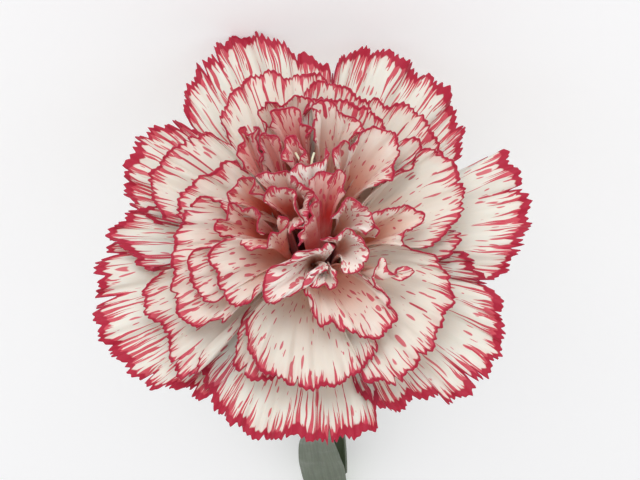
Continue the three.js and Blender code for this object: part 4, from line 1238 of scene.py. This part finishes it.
@dataclass
class Stem(Green):
    """The stem: a smooth rod with one swollen node, cut off at a slant."""

    columns: int = 48
    rows: int = 150

    def build(self) -> bpy.types.Object:
        """Builds and dresses the stem.

        Returns:
            The stem.
        """
        turn, share = grid(self.columns, self.rows)
        angle = turn * 2 * math.pi
        cut_rise = STEM_DIAMETER * math.tan(math.radians(STEM_CUT_ANGLE)) / 2
        cut = cut_rise * (1.0 + np.cos(angle - math.pi / 2))
        inner = np.clip((share - 0.02) / 0.96, 0.0, 1.0)
        height = STEM_END + cut * (1.0 - smooth(inner, 0.0, 0.12)) + STEM_LENGTH * inner
        height = np.minimum(height, STEM_TOP)
        away = (height - NODE_HEIGHT) / (NODE_DIAMETER * 0.45)
        radius = STEM_DIAMETER / 2 + (NODE_DIAMETER - STEM_DIAMETER) / 2 * np.exp(-away * away)
        flare = smooth(height, STEM_TOP - 3.5, STEM_TOP)
        radius = radius + (CALYX_FOOT_RADIUS * 0.92 - STEM_DIAMETER / 2) * flare
        radius = radius * np.clip(share / 0.02, 0.0, 1.0) * np.clip((1.0 - share) / 0.02, 0.0, 1.0)
        cap = STEM_END + cut_rise * (1.0 + np.cos(angle - math.pi / 2) * share / 0.02)
        height = np.where(share < 0.02, cap, height)
        points = on_axis(height, radius, angle) + stem_shift(height)[..., None] * ACROSS
        return self.dressed("stem", "stem_green", points, {"across": turn * 2.0, "up": height})


@dataclass
class Leaves(Green):
    """The pair of keeled, waxy leaves that clasp the node and run up beside the stem."""

    columns: int = 28
    rows: int = 110

    def build(self) -> list[bpy.types.Object]:
        """Builds and dresses both leaves.

        Returns:
            The two leaves.
        """
        made = []
        u, v = grid(self.columns, self.rows)
        for index, side_angle in enumerate((-math.pi / 2, math.pi / 2)):
            side = math.cos(side_angle) * ACROSS + math.sin(side_angle) * UPWARD
            over = np.cross(AXIS, side)
            clasp = NODE_DIAMETER / 2 + CLEARANCE + LEAF_THICKNESS / 2
            height = NODE_HEIGHT + v * LEAF_LENGTH
            stand = clasp + LEAF_SPREAD * v ** 2
            widening = np.sin(math.pi * np.minimum(1.0, 0.34 + v * 0.66)) ** 0.8
            half = np.maximum(0.12, LEAF_WIDTH / 2 * widening)
            curl = clasp + 16.0 * v
            turn = (u - 0.5) * 2 * np.minimum(1.25, half / curl)
            keel = 0.35 * np.exp(-((u - 0.5) / 0.07) ** 2) * smooth(v, 0.05, 0.25)
            wave = 0.35 * np.sin(v * 17.0 + index) * (np.abs(u - 0.5) * 2) ** 2 * smooth(v, 0.1, 0.4)
            points = (on_axis(height, np.array(0.0), np.array(0.0))
                      + stem_shift(height)[..., None] * ACROSS
                      + (stand - curl * (1.0 - np.cos(turn)) - keel + wave)[..., None] * side
                      + (curl * np.sin(turn))[..., None] * over)
            facts = {"across": u, "up": v * LEAF_LENGTH}
            made.append(self.dressed(f"leaf_{index + 1}", "leaf_green", points, facts,
                                     LEAF_THICKNESS * FINE_SHARE))
        return made


# ------------------------------------------------------------------ studio
@dataclass
class Studio:
    """A plain pale floor, soft light and a camera that looks straight into the bloom."""

    face: FaceFrame
    distance: float = 650.0
    view_width: float = 111.4
    aim: tuple[float, float] = (1.39, -1.04)
    floor_tone: Colour = (0.92, 0.92, 0.93, 1.0)
    floor_glow: float = 0.16
    sky_strength: float = 0.8
    lamp_place: Point = (-60.0, 330.0, 640.0)    # in the face frame, in mm
    lamp_size: float = 420.0
    lamp_power: float = 2.75
    sensor_width: float = 36.0

    def build(self) -> None:
        """Builds the floor, the lights and the camera."""
        self.floor()
        self.lights()
        self.camera()

    def floor(self) -> None:
        """Lays the floor."""
        shape = bmesh.new()
        bmesh.ops.create_grid(shape, x_segments=1, y_segments=1, size=4.0)
        ground = finished("floor", shape)
        nodes = Nodes("pale_floor")
        nodes.dress({"Base Color": self.floor_tone, "Emission Color": self.floor_tone,
                     "Emission Strength": self.floor_glow, "Roughness": 0.9, "Specular IOR Level": 0.1})
        ground.data.materials.append(nodes.material)

    def lights(self) -> None:
        """Hangs one large soft lamp before the bloom and lights the room evenly."""
        world = bpy.data.worlds.new("soft_room")
        world.use_nodes = True
        sky = world.node_tree.nodes["Background"]
        sky.inputs["Color"].default_value = (1.0, 1.0, 1.0, 1.0)
        sky.inputs["Strength"].default_value = self.sky_strength
        bpy.context.scene.world = world
        light = bpy.data.lights.new("key", "AREA")
        light.size = self.lamp_size * MM
        light.energy = self.lamp_power
        lamp = bpy.data.objects.new("key", light)
        bpy.context.scene.collection.objects.link(lamp)
        ends = (self.lamp_place, (0.0, 0.0, 0.0))
        spot, target = (Vector(self.face.place(np.array(point))) for point in ends)
        lamp.location = spot
        lamp.rotation_mode = "QUATERNION"
        lamp.rotation_quaternion = (target - spot).to_track_quat("-Z", "Y")

    def camera(self) -> None:
        """Sets the camera straight before the bloom's face, with the stem at the bottom of the view."""
        lens = bpy.data.cameras.new("camera")
        lens.sensor_width = self.sensor_width
        lens.lens = self.sensor_width * self.distance / self.view_width
        lens.clip_start, lens.clip_end = 0.05, 20.0
        camera = bpy.data.objects.new("camera", lens)
        bpy.context.scene.collection.objects.link(camera)
        spot = self.face.place(np.array((*self.aim, self.distance)))
        turn = Matrix(self.face.turn.tolist()).to_4x4()
        camera.matrix_world = Matrix.Translation(Vector(spot)) @ turn
        bpy.context.scene.camera = camera


def petal_finishes() -> dict[Ring, bpy.types.Material]:
    """Makes the petals' finishes: greenish white guards, a salmon rosette and a crimson heart, whose tints
    deep in the bloom are partly painted shade.

    Returns:
        The finish of each ring.
    """
    guard = PetalFinish("guard_petal", srgb(226, 222, 211), srgb(220, 207, 190), srgb(224, 216, 172),
                        rim_width=1.0, fringe=5.8, lash=9.5, streak=1.2)
    outer = PetalFinish("outer_petal", srgb(230, 219, 206), srgb(224, 182, 156), srgb(228, 208, 160),
                        rim_width=0.42, fringe=2.8, lash=5.5, dashed=1.1)
    middle = PetalFinish("middle_petal", srgb(234, 218, 206), srgb(222, 132, 104), srgb(212, 128, 92),
                         rim_width=0.4, fringe=2.8, lash=5.8, streak=0.7, dashed=1.15, depth_start=0.98,
                         depth_stop=0.3)
    inner = PetalFinish("inner_petal", srgb(238, 214, 202), srgb(218, 92, 66), srgb(184, 42, 38),
                        rim_width=0.36, fringe=3.4, fine=2.4, lash=7.5, streak=1.3, dashed=1.3,
                        depth_start=1.0, depth_stop=0.4)
    heart = PetalFinish("heart_petal", srgb(236, 204, 194), srgb(200, 44, 42), srgb(150, 12, 20),
                        rim_width=0.36, fringe=3.8, fine=2.6, lash=8.0, streak=1.4, dashed=1.4,
                        depth_start=1.1, depth_stop=0.5)
    return {ring: finish.material() for ring, finish in zip(Ring, (heart, inner, middle, outer, guard))}


def main() -> None:
    """Builds the flower, then the studio round it."""
    bpy.context.scene.view_settings.view_transform = "Standard"
    face = FaceFrame.from_model()
    crumpled = PetalFinish("crumpled_petal", srgb(240, 226, 216), srgb(234, 168, 146), srgb(200, 60, 56),
                           rim_width=0.35, fringe=2.6, lash=8.0, streak=1.6, dashed=1.6, depth_start=0.6,
                           depth_stop=0.2)
    calyx = GreenFinish("calyx_green", srgb(140, 160, 104), srgb(112, 136, 82), srgb(166, 182, 144), 10.0,
                        papery=True)
    stem = GreenFinish("stem_green", srgb(124, 146, 96), srgb(104, 128, 80), srgb(156, 172, 144), 6.0)
    leaf = GreenFinish("leaf_green", srgb(88, 100, 76), srgb(68, 80, 54), srgb(110, 118, 102), 8.0)
    pith = GreenFinish("pith_green", srgb(190, 204, 140), srgb(170, 186, 118), srgb(210, 218, 170))
    cream = GreenFinish("style_cream", srgb(232, 232, 200), srgb(214, 218, 178), srgb(240, 240, 220))
    calyx_green = calyx.material()
    Bloom(face, petal_finishes(), crumpled.material()).build()
    Calyx(face, calyx_green).build()
    Bracts(face, calyx_green).build()
    Pistil(face, pith.material(), cream.material()).build()
    Stem(face, stem.material()).build()
    Leaves(face, leaf.material()).build()
    log.info("calyx, bracts, pistil, stem and leaves built")
    Studio(face).build()


if __name__ == "__main__":
    main()
